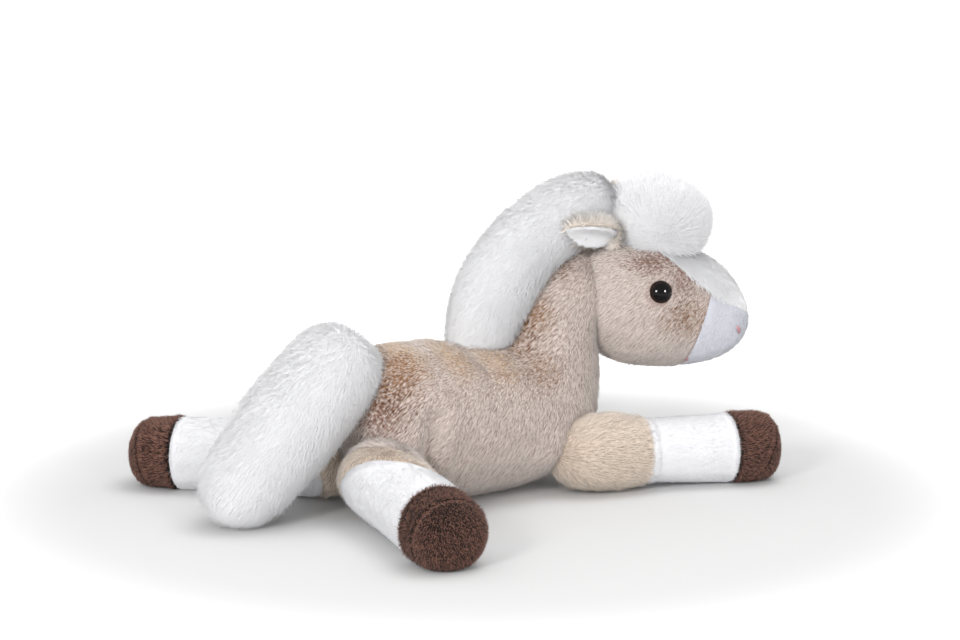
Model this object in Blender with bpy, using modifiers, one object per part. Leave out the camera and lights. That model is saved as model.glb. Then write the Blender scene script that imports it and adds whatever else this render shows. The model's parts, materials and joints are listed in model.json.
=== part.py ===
"""Stuffed toy horse lying on its belly with its four legs spread out.

Every cover is a sewn skin of plush round its own stuffing. The head nods on the round end of
the neck, the legs sweep over the floor, the tail lifts and the ears swing outwards.
+X is forward, +Y is the horse's left and +Z is up. The origin is on the floor under the belly.
"""

import math

import bmesh
import bpy
from mathutils import Matrix, Vector
from mathutils.bvhtree import BVHTree

# Plush and seams
WALL = 0.0018
SEAM_GAP = 0.0003
FLAT_DEPTH = 0.0005
CUT_OVERRUN = 0.010
CUT_REACH = 0.250
MERGE_DISTANCE = 0.00001

# Body, with the neck sewn in one with it
BODY_LENGTH = 0.150
BODY_HEIGHT = 0.078
BODY_WIDTH = 0.086
NECK_REACH_SHARE = 0.443
NECK_HEIGHT_SHARE = 1.269
NECK_REACH = NECK_REACH_SHARE * BODY_LENGTH
NECK_HEIGHT = NECK_HEIGHT_SHARE * BODY_HEIGHT
NECK_RADIUS = 0.0215
NECK_WIDTH = 0.046

# Head, which is turned to the horse's right
HEAD_START = 0.0045
HEAD_LENGTH = 0.088
HEAD_DEPTH = 0.0655
HEAD_WIDTH = 0.055
HEAD_TURN = math.radians(-28)
HALF_NOD = math.radians(4)
NOD_CLEARANCE = 0.0012

# Legs, from the pivot in the root to the sole
LEG_LENGTH = 0.107
UPPER_LENGTH = 0.032
HOOF_LENGTH = 0.026
SOLE_DEPTH = 0.0090
FRONT_FORWARD_SHARE = 0.310
FRONT_SPREAD = 0.037
FRONT_HIP_HEIGHT = 0.0205
FRONT_ROOT_RADIUS = 0.0182
FRONT_THIGH_RADIUS = 0.0190
FRONT_KNEE_RADIUS = 0.0155
FRONT_FETLOCK_RADIUS = 0.0178
FRONT_HOOF_RADIUS = 0.0174
HIND_BACK_SHARE = 0.487
HIND_SPREAD = 0.0265
HIND_HIP_HEIGHT = 0.0208
HIND_ROOT_RADIUS = 0.0188
HIND_THIGH_RADIUS = 0.0196
HIND_KNEE_RADIUS = 0.0180
HIND_FETLOCK_RADIUS = 0.0184
HIND_HOOF_RADIUS = 0.0172

# Tail
TAIL_RADIUS = 0.0235
TAIL_TIP_RADIUS = 0.0195
TAIL_OPENING_RADIUS = 0.0094
TAIL_BACK_SHARE = 0.555
TAIL_HEIGHT_SHARE = 0.936
TAIL_BACK = TAIL_BACK_SHARE * BODY_LENGTH
TAIL_HEIGHT = TAIL_HEIGHT_SHARE * BODY_HEIGHT
TAIL_DROOP = math.radians(45.5)

# Mane along the crest of the neck
MANE_WIDTH = 0.029

# Forelock on the forehead
FORELOCK_LENGTH = 0.047
FORELOCK_HEIGHT = 0.041
FORELOCK_WIDTH = 0.042
FORELOCK_FORWARD = 0.0455
FORELOCK_RISE = 0.0405
FORELOCK_TILT = math.radians(20)

# Ears, from the root at the poll to the tip
EAR_LENGTH = 0.030
EAR_WIDTH = 0.017
EAR_CUP = 0.0032
EAR_WALL = 0.0014
EAR_TRIM = 0.0006
RIGHT_EAR = (0.0185, -0.0115, 0.0325)
RIGHT_EAR_TURN = math.radians(-152)
RIGHT_EAR_LIFT = math.radians(10.5)
RIGHT_EAR_ROLL = math.radians(-130)
LEFT_EAR = (0.0215, 0.0155, 0.0265)
LEFT_EAR_TURN = math.radians(74)
LEFT_EAR_LIFT = math.radians(64)
LEFT_EAR_ROLL = math.radians(148)

# Safety eyes, each locked by a washer inside the head
EYE_RADIUS = 0.006
EYE_HEIGHT = 0.0048
EYE_FORWARD = 0.0372
EYE_RISE = 0.004
EYE_SEAT = 0.0008
SHANK_RADIUS = 0.0015
SHANK_LENGTH = 0.0075
WASHER_RADIUS = 0.0050
WASHER_THICKNESS = 0.0014
WASHER_DEPTH = 0.0030

# Thread stitches for the nostrils and the corners of the mouth
NOSTRIL_LENGTH = 0.0050
NOSTRIL_WIDTH = 0.0024
NOSTRIL_FORWARD = 0.072
NOSTRIL_SIDE = math.radians(60)
NOSTRIL_DROP = 0.0185
MOUTH_LENGTH = 0.0028
MOUTH_WIDTH = 0.0012
MOUTH_FORWARD = 0.0535
MOUTH_DROP = 0.0335
STITCH_THICKNESS = 0.0006

FORM_SIDES = 8
LEG_SIDES = 12
ROOT_ANGLES = (0, math.radians(30), math.radians(60))


# Scene, materials and objects
def clear_scene():
    for old in list(bpy.data.objects):
        bpy.data.objects.remove(old, do_unlink=True)


def collection(name):
    found = bpy.data.collections.new(name)
    bpy.context.scene.collection.children.link(found)
    return found


def material(name, colour, roughness):
    made = bpy.data.materials.new(name)
    made.use_nodes = True
    shader = made.node_tree.nodes["Principled BSDF"]
    shader.inputs["Base Color"].default_value = (*colour, 1)
    shader.inputs["Roughness"].default_value = roughness
    shader.inputs["Metallic"].default_value = 0
    return made


clear_scene()
PARTS = collection("plush_horse")
CUTTERS = collection("cutters")

BEIGE = material("beige_plush", (0.46, 0.34, 0.26), 0.95)
WHITE = material("white_plush", (0.86, 0.86, 0.87), 0.95)
BROWN = material("brown_plush", (0.060, 0.028, 0.017), 0.95)
STUFFING = material("stuffing", (0.90, 0.90, 0.88), 1.0)
EYE_PLASTIC = material("eye_plastic", (0.004, 0.003, 0.003), 0.08)
WASHER_PLASTIC = material("washer_plastic", (0.75, 0.75, 0.75), 0.4)
THREAD = material("pink_thread", (0.60, 0.20, 0.20), 0.7)


def piece(name, mesh, finish, parent=None, place=None):
    made = bpy.data.objects.new(name, mesh)
    PARTS.objects.link(made)
    made.parent = parent
    made.matrix_local = place or Matrix()
    mesh.materials.clear()
    mesh.materials.append(finish)
    return made


def cutter(name, mesh, parent=None, place=None):
    made = bpy.data.objects.new(name, mesh)
    CUTTERS.objects.link(made)
    made.parent = parent
    made.matrix_local = place or Matrix()
    made.hide_render = True
    made.display_type = "WIRE"
    return made


def pivot(name, location, turns=(0, 0, 0), parent=None):
    """Empty on a joint's axis, which carries what moves there."""
    made = bpy.data.objects.new(name, None)
    PARTS.objects.link(made)
    made.parent = parent
    made.location = location
    made.rotation_euler = turns
    return made


# Shapes
def loft_mesh(name, rear, stations, front, sides=FORM_SIDES):
    """Coarse cage through stations of (low point, high point, half width) in the XZ plane.

    Subdivision draws a ring in, so each ring is let out by the same share first.
    """
    drawn_share = (4 + 2 * math.cos(2 * math.pi / sides)) / 6
    bm = bmesh.new()
    rings = []
    for low, high, half_width in stations:
        low, high = Vector((low[0], 0, low[1])), Vector((high[0], 0, high[1]))
        centre, rise = (low + high) / 2, (high - low) / 2 / drawn_share
        spread = Vector((0, half_width / drawn_share, 0))
        turns = [2 * math.pi * i / sides for i in range(sides)]
        rings.append([bm.verts.new(centre + rise * math.cos(t) + spread * math.sin(t)) for t in turns])
    for ring, after in zip(rings, rings[1:]):
        for i in range(sides):
            j = (i + 1) % sides
            bm.faces.new((ring[i], ring[j], after[j], after[i]))
    for ring, tip in ((rings[0], rear), (rings[-1], front)):
        end = bm.verts.new((tip[0], 0, tip[1]))
        for i in range(sides):
            bm.faces.new((ring[i], ring[(i + 1) % sides], end))
    bmesh.ops.recalc_face_normals(bm, faces=bm.faces)
    return finished(name, bm)


def profile_mesh(name, points):
    """Open outline of (radius, height) points, from the top down, to be turned about Z."""
    bm = bmesh.new()
    verts = [bm.verts.new((radius, 0, height)) for radius, height in points]
    for first, second in zip(verts, verts[1:]):
        bm.edges.new((first, second))
    return finished(name, bm)


def ball_mesh(name, radius, segments=16, rings=8):
    """Sphere whose flat faces stay outside the radius."""
    outer = radius / math.cos(math.pi / segments) / math.cos(math.pi / rings / 2)
    bm = bmesh.new()
    bmesh.ops.create_uvsphere(bm, u_segments=segments, v_segments=rings, radius=outer)
    return finished(name, bm)


def box_mesh(name, low, high):
    low, high = Vector(low), Vector(high)
    place = Matrix.Translation((low + high) / 2) @ Matrix.Diagonal((*(high - low), 1))
    bm = bmesh.new()
    bmesh.ops.create_cube(bm, size=1, matrix=place)
    return finished(name, bm)


def disc_mesh(name, radius, low, high, segments=20):
    bm = bmesh.new()
    place = Matrix.Translation((0, 0, (low + high) / 2))
    bmesh.ops.create_cone(
        bm, cap_ends=True, segments=segments, radius1=radius, radius2=radius, depth=high - low, matrix=place
    )
    return finished(name, bm)


def finished(name, bm):
    mesh = bpy.data.meshes.new(name)
    bm.to_mesh(mesh)
    bm.free()
    mesh.shade_smooth()
    return mesh


def smoothed(target, levels=1):
    made = target.modifiers.new("smooth", "SUBSURF")
    made.levels = made.render_levels = levels


def turned(target, steps=LEG_SIDES):
    made = target.modifiers.new("turn", "SCREW")
    made.steps = made.render_steps = steps
    made.use_merge_vertices = True
    made.merge_threshold = MERGE_DISTANCE


def skinned(target, wall=WALL):
    """Leaves the surface as the outer side of a cover of this wall."""
    made = target.modifiers.new("wall", "SOLIDIFY")
    made.thickness = wall
    made.offset = -1


def let_out(target, distance):
    made = target.modifiers.new("let_out", "DISPLACE")
    made.strength = distance
    made.mid_level = 0


def cut(target, *tools):
    for tool in tools:
        made = target.modifiers.new(tool.name, "BOOLEAN")
        made.operation = "DIFFERENCE"
        made.object = tool


def padded_pair(name, mesh, finish, parent, tools, floor=False, shape=smoothed):
    """Cover and stuffing of one form, each cut by the same neighbours."""
    cover = piece(name + "_cover", mesh, finish, parent)
    shape(cover)
    skinned(cover)
    cut(cover, *tools)
    if floor:
        cut(cover, FLOOR)
    filling = piece(name + "_filling", mesh.copy(), STUFFING, parent)
    shape(filling)
    let_out(filling, -(WALL + SEAM_GAP))
    cut(filling, *tools)
    return cover, filling


def seat_on(form, start, direction):
    """Frame on the form's surface where a ray from start leaves it, with Z pointing out of it."""
    bpy.context.view_layer.update()
    tree = BVHTree.FromObject(form, bpy.context.evaluated_depsgraph_get())
    far = Vector(start) + Vector(direction) * CUT_REACH
    place, normal, _, _ = tree.ray_cast(far, -Vector(direction))
    return Matrix.Translation(place) @ normal.to_track_quat("Z", "X").to_matrix().to_4x4()


FLOOR = cutter(
    "floor_cutter",
    box_mesh("floor_cutter", (-CUT_REACH, -CUT_REACH, -CUT_OVERRUN), (CUT_REACH, CUT_REACH, 0)),
)


ALONG = Matrix.Rotation(math.pi / 2, 4, "Y")


# Tail: one bent tube, round at both ends, whose tip lies on the floor
def tail_mesh():
    run = (TAIL_HEIGHT - TAIL_TIP_RADIUS + FLAT_DEPTH) / math.sin(TAIL_DROOP)
    root, tip = TAIL_RADIUS, TAIL_TIP_RADIUS
    shoulder_share, shoulder_radius_share, end_share = 0.65, 0.78, 1.02
    middle_share, middle_radius_share, bow_share = 0.45, 1.02, 0.08
    shapes = (
        (-root * shoulder_share, root * shoulder_radius_share, 0),
        (0, root, 0),
        (run * middle_share, root * middle_radius_share, root * bow_share),
        (run, tip, 0),
        (run + tip * shoulder_share, tip * shoulder_radius_share, 0),
    )
    stations = [((along, lift - radius), (along, lift + radius), radius) for along, radius, lift in shapes]
    return loft_mesh("tail", (-root * end_share, 0), stations, (run + tip * end_share, 0))


TAIL_MESH = tail_mesh()
tail_root = pivot("tail_root", (-TAIL_BACK, 0, TAIL_HEIGHT), (0, TAIL_DROOP, math.pi))
TAIL_OPENING = cutter(
    "tail_opening",
    disc_mesh("tail_opening", TAIL_OPENING_RADIUS, -CUT_OVERRUN, CUT_OVERRUN, 12),
    tail_root,
    Matrix.Translation((-TAIL_RADIUS, 0, 0)) @ ALONG,
)
padded_pair("tail", TAIL_MESH, WHITE, tail_root, [TAIL_OPENING], floor=True)
TAIL_ROOM = cutter("tail_room", TAIL_MESH.copy(), tail_root)
smoothed(TAIL_ROOM)
let_out(TAIL_ROOM, SEAM_GAP)


# Body: torso from the rump to the chest, then the neck, which ends in a ball under the head
def body_stations():
    half, low = BODY_WIDTH / 2, -FLAT_DEPTH
    torso_shares = (
        (-0.480, 0.220, -0.485, 0.890, 0.56),
        (-0.380, 0.000, -0.400, 1.070, 0.86),
        (-0.190, 0.000, -0.200, 1.035, 0.99),
        (0.080, 0.000, 0.000, 0.985, 1.00),
        (0.270, 0.060, 0.105, 0.950, 0.94),
        (0.445, 0.260, 0.150, 0.990, 0.83),
    )
    stations = []
    for x_low, z_low, x_high, z_high, width in torso_shares:
        belly = (x_low * BODY_LENGTH, low + z_low * BODY_HEIGHT)
        back = (x_high * BODY_LENGTH, z_high * BODY_HEIGHT)
        stations.append((belly, back, width * half))
    x, z, r = NECK_REACH, NECK_HEIGHT, NECK_RADIUS
    neck_shares = (
        (0.34, -2.10, -1.85, -0.30, 1.14),
        (0.22, -1.20, -1.35, 0.45, 0.98),
        (0.16, -0.98, -0.50, 1.08, 0.94),
        (0.55, -0.85, 0.55, 0.85, 0.86),
    )
    for x_low, z_low, x_high, z_high, width in neck_shares:
        throat = (x + x_low * r, z + z_low * r)
        crest = (x + x_high * r, z + z_high * r)
        stations.append((throat, crest, width * NECK_WIDTH / 2))
    return stations


RUMP_SHARES = (-0.512, 0.54)
NECK_END_SHARE = 1.02
BODY_MESH = loft_mesh(
    "body",
    (RUMP_SHARES[0] * BODY_LENGTH, RUMP_SHARES[1] * BODY_HEIGHT),
    body_stations(),
    (NECK_REACH + NECK_END_SHARE * NECK_RADIUS, NECK_HEIGHT),
)
FRONT_LEG = {
    "hip": Vector((FRONT_FORWARD_SHARE * BODY_LENGTH, FRONT_SPREAD, FRONT_HIP_HEIGHT)),
    "root": FRONT_ROOT_RADIUS,
    "thigh": FRONT_THIGH_RADIUS,
    "knee": FRONT_KNEE_RADIUS,
    "fetlock": FRONT_FETLOCK_RADIUS,
    "hoof": FRONT_HOOF_RADIUS,
}
HIND_LEG = {
    "hip": Vector((-HIND_BACK_SHARE * BODY_LENGTH, HIND_SPREAD, HIND_HIP_HEIGHT)),
    "root": HIND_ROOT_RADIUS,
    "thigh": HIND_THIGH_RADIUS,
    "knee": HIND_KNEE_RADIUS,
    "fetlock": HIND_FETLOCK_RADIUS,
    "hoof": HIND_HOOF_RADIUS,
}
LEGS = {
    "front_right": (FRONT_LEG, -1, math.radians(-15.5), math.radians(24)),
    "front_left": (FRONT_LEG, 1, math.radians(44), math.radians(24)),
    "hind_right": (HIND_LEG, -1, math.radians(-101), math.radians(8)),
    "hind_left": (HIND_LEG, 1, math.radians(130), math.radians(8)),
}


REACHES = {
    "front_right": (math.radians(4),),
    "hind_right": (math.radians(6), math.radians(12)),
}


def hip_place(sizes, sign):
    hip = sizes["hip"]
    return Vector((hip.x, hip.y * sign, hip.z))


def leg_profile(sizes):
    root, thigh, knee = sizes["root"], sizes["thigh"], sizes["knee"]
    sole_shares = ((0, 0), (0.62, 0.12), (0.90, 0.42), (1, 1))
    points = [(sizes["hoof"] * r, LEG_LENGTH - SOLE_DEPTH * z) for r, z in sole_shares]
    points.append((sizes["fetlock"], LEG_LENGTH - HOOF_LENGTH))
    # How much of each radius is the thigh's or the root's, and how far up the leg it lies
    knee_shares = ((0, 1.12), (0.20, 0.96), (1, 0.50))
    points.extend((knee + (thigh - knee) * r, UPPER_LENGTH * z) for r, z in knee_shares)
    shoulder_shares = (0.33, 0.18)
    points.append((root + (thigh - root) * shoulder_shares[0], UPPER_LENGTH * shoulder_shares[1]))
    for angle in ROOT_ANGLES:
        points.append((root * math.cos(angle), -root * math.sin(angle)))
    return [*points, (0, -root)]


def leg_slope(sizes):
    """How far a leg points down from its hip, so that the hoof lies flat on the floor."""
    return math.asin((sizes["hip"].z + FLAT_DEPTH - sizes["hoof"]) / (LEG_LENGTH - SOLE_DEPTH))


def leg_room(side, sweep):
    """Space that a leg takes up when it is swept by this angle from its place at rest."""
    sizes, sign, turn, _ = LEGS[side]
    name = side + "_room"
    place = Matrix.Translation(hip_place(sizes, sign)) @ Matrix.Rotation(turn + sweep, 4, "Z")
    place = place @ Matrix.Rotation(leg_slope(sizes), 4, "Y") @ ALONG
    room = cutter(name, profile_mesh(name, leg_profile(sizes)), None, place)
    turned(room)
    let_out(room, SEAM_GAP)
    return room


def ball_cutter(name, radius, place):
    return cutter(name, ball_mesh(name, radius + SEAM_GAP), None, Matrix.Translation(place))


pockets = [
    ball_cutter(side + "_pocket", sizes["root"], hip_place(sizes, sign))
    for side, (sizes, sign, _, _) in LEGS.items()
]
pockets.append(ball_cutter("tail_pocket", TAIL_RADIUS, (-TAIL_BACK, 0, TAIL_HEIGHT)))
rooms = [leg_room(side, sweep) for side in LEGS for sweep in (0, *REACHES.get(side, ()))]
padded_pair("body", BODY_MESH, BEIGE, None, [*pockets, *rooms, TAIL_ROOM], floor=True)

BODY_ROOM = cutter("body_room", BODY_MESH.copy())
smoothed(BODY_ROOM)
let_out(BODY_ROOM, SEAM_GAP)


# Legs: a turned tube in four panels round one stuffing, with a tilted sole
def side_of(name, height, above, tilt, parent):
    """Cutter that takes all of a leg above or below a plane across it."""
    low, high = (-SEAM_GAP / 2, CUT_REACH) if above else (-CUT_REACH, SEAM_GAP / 2)
    mesh = box_mesh(name, (-CUT_REACH, -CUT_REACH, low), (CUT_REACH, CUT_REACH, high))
    place = ALONG @ Matrix.Translation((0, 0, height)) @ Matrix.Rotation(tilt, 4, "Y")
    return cutter(name, mesh, parent, place)


def leg_piece(name, sizes, finish, parent):
    made = piece(name, profile_mesh(name, leg_profile(sizes)), finish, parent, ALONG)
    turned(made)
    return made


def leg(side, sizes, place, turn, tilt):
    hip = pivot(side + "_hip", place, (0, leg_slope(sizes), turn))
    planes = ((UPPER_LENGTH, 0), (LEG_LENGTH - HOOF_LENGTH, 0), (LEG_LENGTH - SOLE_DEPTH, tilt))
    over = [side_of(side + f"_over_{i}", z, True, t, hip) for i, (z, t) in enumerate(planes)]
    under = [side_of(side + f"_under_{i}", z, False, t, hip) for i, (z, t) in enumerate(planes)]
    panels = (
        ("_leg_upper_cover", BEIGE, (over[0],)),
        ("_leg_lower_cover", WHITE, (under[0], over[1])),
        ("_hoof_cover", BROWN, (under[1], over[2])),
        ("_sole", BROWN, (under[2],)),
    )
    for name, finish, tools in panels:
        panel = leg_piece(side + name, sizes, finish, hip)
        skinned(panel)
        cut(panel, *tools, FLOOR)
    filling = leg_piece(side + "_leg_filling", sizes, STUFFING, hip)
    let_out(filling, -(WALL + SEAM_GAP))


for side, (sizes, sign, turn, tilt) in LEGS.items():
    leg(side, sizes, hip_place(sizes, sign), turn, tilt)


# Head: one form, sewn from a beige cover, a white muzzle and a white blaze
head_pivot = pivot("head_pivot", (NECK_REACH, 0, NECK_HEIGHT), (0, 0, HEAD_TURN))


def head_stations():
    outline_shares = (
        (0.010, -0.380, 0.005, 0.350, 0.72),
        (0.130, -0.530, 0.120, 0.420, 0.96),
        (0.320, -0.600, 0.320, 0.420, 1.04),
        (0.520, -0.600, 0.540, 0.385, 0.99),
        (0.700, -0.585, 0.760, 0.275, 0.80),
        (0.860, -0.530, 0.920, 0.080, 0.64),
        (0.960, -0.400, 0.990, -0.090, 0.42),
    )
    stations = []
    for x_low, z_low, x_high, z_high, width in outline_shares:
        low = (HEAD_START + x_low * HEAD_LENGTH, z_low * HEAD_DEPTH)
        high = (HEAD_START + x_high * HEAD_LENGTH, z_high * HEAD_DEPTH)
        stations.append((low, high, width * HEAD_WIDTH / 2))
    return stations


HEAD_END_SHARES = (-0.01, 1.01, -0.26)
HEAD_MESH = loft_mesh(
    "head",
    (HEAD_START + HEAD_END_SHARES[0] * HEAD_LENGTH, 0),
    head_stations(),
    (HEAD_START + HEAD_END_SHARES[1] * HEAD_LENGTH, HEAD_END_SHARES[2] * HEAD_DEPTH),
)
HEAD_FORM = cutter("head_form", HEAD_MESH.copy(), head_pivot)
smoothed(HEAD_FORM)


def head_point(shares):
    return Vector((HEAD_START + shares[0] * HEAD_LENGTH, 0, shares[1] * HEAD_DEPTH))


def seam_side(name, start, end):
    """Box over all that lies to the left of the line from start to end, seen with X to the right."""
    line = end - start
    frame = Matrix.Translation(start) @ Matrix.Rotation(-math.atan2(line.z, line.x), 4, "Y")
    mesh = box_mesh(name, (-CUT_REACH, -CUT_REACH, -SEAM_GAP / 2), (CUT_REACH, CUT_REACH, CUT_REACH))
    return cutter(name, mesh, head_pivot, frame)


CHEEK_SHARES = (0.745, 0.030)
BROW_SHARES = (0.470, 0.330)
CHIN_SHARES = (0.610, -0.560)
NOSE_SHARES = (0.980, -0.150)
CHEEK = head_point(CHEEK_SHARES)
BROW = head_point(BROW_SHARES)
CHIN = head_point(CHIN_SHARES)
NOSE = head_point(NOSE_SHARES)
seams = {
    "muzzle_side": seam_side("muzzle_side", CHEEK, CHIN),
    "cheek_side": seam_side("cheek_side", CHIN, CHEEK),
    "blaze_side": seam_side("blaze_side", BROW, CHEEK),
    "brow_side": seam_side("brow_side", CHEEK, BROW),
    "nose_side": seam_side("nose_side", CHEEK, NOSE),
    "lip_side": seam_side("lip_side", NOSE, CHEEK),
}

# Room for the neck in the head, made with the head half nodded so that it clears both ways
NECK_ROOM = cutter(
    "neck_room",
    BODY_MESH.copy(),
    head_pivot,
    Matrix.Rotation(-HALF_NOD, 4, "Y")
    @ Matrix.Rotation(-HEAD_TURN, 4, "Z")
    @ Matrix.Translation((-NECK_REACH, 0, -NECK_HEIGHT)),
)
smoothed(NECK_ROOM)
let_out(NECK_ROOM, NOD_CLEARANCE)

EYE_SIDES = {"right": -1, "left": 1}
eye_tools = []
washer_tools = []
eye_places = {}
for side, sign in EYE_SIDES.items():
    place = seat_on(HEAD_FORM, (HEAD_START + EYE_FORWARD, 0, EYE_RISE), (0, sign, 0))
    eye_places[side] = place
    hole = disc_mesh("hole", SHANK_RADIUS + SEAM_GAP, -CUT_OVERRUN, CUT_OVERRUN, 12)
    seat = disc_mesh("seat", EYE_RADIUS + SEAM_GAP, -EYE_SEAT, CUT_OVERRUN, 20)
    eye_tools.append(cutter(side + "_eye_hole", hole, head_pivot, place))
    eye_tools.append(cutter(side + "_eye_seat", seat, head_pivot, place))
    bed_depth = SHANK_LENGTH + EYE_SEAT + SEAM_GAP
    bed = disc_mesh("bed", WASHER_RADIUS + SEAM_GAP, -bed_depth, 0, 16)
    washer_tools.append(cutter(side + "_washer_bed", bed, head_pivot, place))


def head_panel(name, finish, tools):
    panel = piece(name, HEAD_MESH.copy(), finish, head_pivot)
    smoothed(panel)
    skinned(panel)
    cut(panel, *tools)
    return panel


head_panel("head_cover", BEIGE, [NECK_ROOM, seams["muzzle_side"], seams["blaze_side"], *eye_tools])
head_panel("muzzle_cover", WHITE, [seams["cheek_side"], seams["nose_side"]])
head_panel("blaze", WHITE, [seams["brow_side"], seams["lip_side"]])
head_filling = piece("head_filling", HEAD_MESH.copy(), STUFFING, head_pivot)
smoothed(head_filling)
let_out(head_filling, -(WALL + SEAM_GAP))
cut(head_filling, NECK_ROOM, *washer_tools)

HEAD_ROOM = cutter("head_room", HEAD_MESH.copy(), head_pivot)
smoothed(HEAD_ROOM)
let_out(HEAD_ROOM, SEAM_GAP)


# Forelock: a round cushion of long pile, sewn down on the forehead
def forelock_mesh():
    half, rise = FORELOCK_LENGTH / 2, FORELOCK_HEIGHT / 2
    round_shares = ((-0.80, 0.60), (-0.35, 0.94), (0.35, 0.94), (0.80, 0.60))
    end_share = 1.05
    stations = []
    for along_share, size_share in round_shares:
        along = along_share * half
        points = ((along, -size_share * rise), (along, size_share * rise))
        stations.append((*points, size_share * FORELOCK_WIDTH / 2))
    return loft_mesh("forelock", (-half * end_share, 0), stations, (half * end_share, 0))


forelock_place = (FORELOCK_FORWARD, 0, FORELOCK_RISE)
forelock_root = pivot("forelock_root", forelock_place, (0, FORELOCK_TILT, 0), head_pivot)
padded_pair("forelock", forelock_mesh(), WHITE, forelock_root, [HEAD_ROOM])


# Mane: a padded crest sewn along the back of the neck, from the withers to the poll
def mane_point(along_share, rise_share):
    return (NECK_REACH + along_share * NECK_RADIUS, NECK_HEIGHT + rise_share * NECK_RADIUS)


def mane_stations():
    crest_shares = (
        (-2.45, -1.40, -3.70, -1.12, 0.62),
        (-1.85, -0.70, -3.58, 0.05, 0.95),
        (-1.50, 0.15, -2.98, 1.22, 1.00),
        (-0.95, 0.72, -1.98, 2.15, 1.00),
        (-0.25, 1.12, -0.75, 2.78, 1.00),
        (0.78, 1.48, 0.72, 3.02, 0.92),
    )
    return [
        (mane_point(x_low, z_low), mane_point(x_high, z_high), width_share * MANE_WIDTH / 2)
        for x_low, z_low, x_high, z_high, width_share in crest_shares
    ]


WITHERS_SHARES = (-3.20, -1.60)
POLL_SHARES = (1.12, 2.22)
MANE_MESH = loft_mesh("mane", mane_point(*WITHERS_SHARES), mane_stations(), mane_point(*POLL_SHARES))
padded_pair("mane", MANE_MESH, WHITE, None, [BODY_ROOM])


# Ears: a beige leaf on a heel that is sewn to the head, and a white one inside it, both cupped
def nearest_on(form, point):
    """Nearest point of the form's surface, in the form's own frame."""
    bpy.context.view_layer.update()
    tree = BVHTree.FromObject(form, bpy.context.evaluated_depsgraph_get())
    return tree.find_nearest(point)[0]


def ear_mesh(name, trim, heel, on_heel):
    """Cupped leaf along X, whose hollow side faces +Z, at the end of the heel or with the heel on it."""
    leaf_shares = ((0, 0.50), (0.10, 0.74), (0.28, 0.96), (0.50, 1.00), (0.70, 0.86), (0.87, 0.56), (1, 0.14))
    across_shares = (-1, -0.6, -0.2, 0.2, 0.6, 1)
    heel_width_share, heel_depth_share = 0.40, 0.25
    half_width = EAR_WIDTH / 2 - trim
    bm = bmesh.new()
    rows = []
    if on_heel:
        start = -heel * heel_depth_share
        heel_row = [start + Vector((0, x * heel_width_share * half_width, 0)) for x in across_shares]
        rows.append([bm.verts.new(point) for point in heel_row])
    for along_share, width_share in leaf_shares:
        row = []
        for across_share in across_shares:
            side_share = across_share * width_share
            along = along_share * (EAR_LENGTH - trim)
            row.append(bm.verts.new(heel + Vector((along, side_share * half_width, EAR_CUP * side_share**2))))
        rows.append(row)
    for row, after in zip(rows, rows[1:]):
        for i in range(len(across_shares) - 1):
            bm.faces.new((row[i], after[i], after[i + 1], row[i + 1]))
    return finished(name, bm)


EARS = {
    "right": (RIGHT_EAR, RIGHT_EAR_TURN, RIGHT_EAR_LIFT, RIGHT_EAR_ROLL),
    "left": (LEFT_EAR, LEFT_EAR_TURN, LEFT_EAR_LIFT, LEFT_EAR_ROLL),
}
for side, (place, turn, lift, roll) in EARS.items():
    frame = Matrix.Rotation(turn, 3, "Z") @ Matrix.Rotation(-lift, 3, "Y") @ Matrix.Rotation(roll, 3, "X")
    foot = nearest_on(HEAD_FORM, Vector(place))
    heel = frame.transposed() @ (Vector(place) - foot)
    root = pivot(side + "_ear_root", foot, frame.to_euler(), head_pivot)
    outer = piece(side + "_ear_outer", ear_mesh("ear_outer", 0, heel, True), BEIGE, root)
    skinned(outer, EAR_WALL)
    cut(outer, HEAD_ROOM)
    inner = piece(side + "_ear_inner", ear_mesh("ear_inner", EAR_TRIM, heel, False), WHITE, root)
    let_out(inner, EAR_WALL + SEAM_GAP)
    skinned(inner, EAR_WALL)
    cut(inner, HEAD_ROOM)


# Safety eyes and their washers
def eye_profile():
    points = [(0, EYE_HEIGHT - EYE_SEAT)]
    for step in range(1, 4):
        angle = math.pi / 2 * step / 4
        points.append((EYE_RADIUS * math.sin(angle), EYE_HEIGHT * math.cos(angle) - EYE_SEAT))
    base = SEAM_GAP - EYE_SEAT
    points.append((EYE_RADIUS, base))
    points.append((SHANK_RADIUS, base))
    return [*points, (SHANK_RADIUS, -SHANK_LENGTH), (0, -SHANK_LENGTH)]


def washer_profile():
    low, high = -WASHER_DEPTH - WASHER_THICKNESS, -WASHER_DEPTH
    inner = SHANK_RADIUS + SEAM_GAP
    return [(inner, high), (WASHER_RADIUS, high), (WASHER_RADIUS, low), (inner, low), (inner, high)]


def washer_mesh(name):
    bm = bmesh.new()
    corners = washer_profile()[:-1]
    verts = [bm.verts.new((radius, 0, height)) for radius, height in corners]
    for first, second in zip(verts, verts[1:] + verts[:1]):
        bm.edges.new((first, second))
    return finished(name, bm)


for side, place in eye_places.items():
    eye = piece(side + "_eye", profile_mesh("eye", eye_profile()), EYE_PLASTIC, head_pivot, place)
    turned(eye, 16)
    washer = piece(side + "_eye_washer", washer_mesh("washer"), WASHER_PLASTIC, head_pivot, place)
    turned(washer, 12)


# Stitches
def stitch(name, length, width, place):
    bm = bmesh.new()
    bmesh.ops.create_uvsphere(bm, u_segments=8, v_segments=6, radius=1)
    bm.transform(Matrix.Diagonal((length / 2, width / 2, STITCH_THICKNESS / 2, 1)))
    lift = Matrix.Translation((0, 0, STITCH_THICKNESS / 2 + SEAM_GAP))
    piece(name, finished(name, bm), THREAD, head_pivot, place @ lift)


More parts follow.
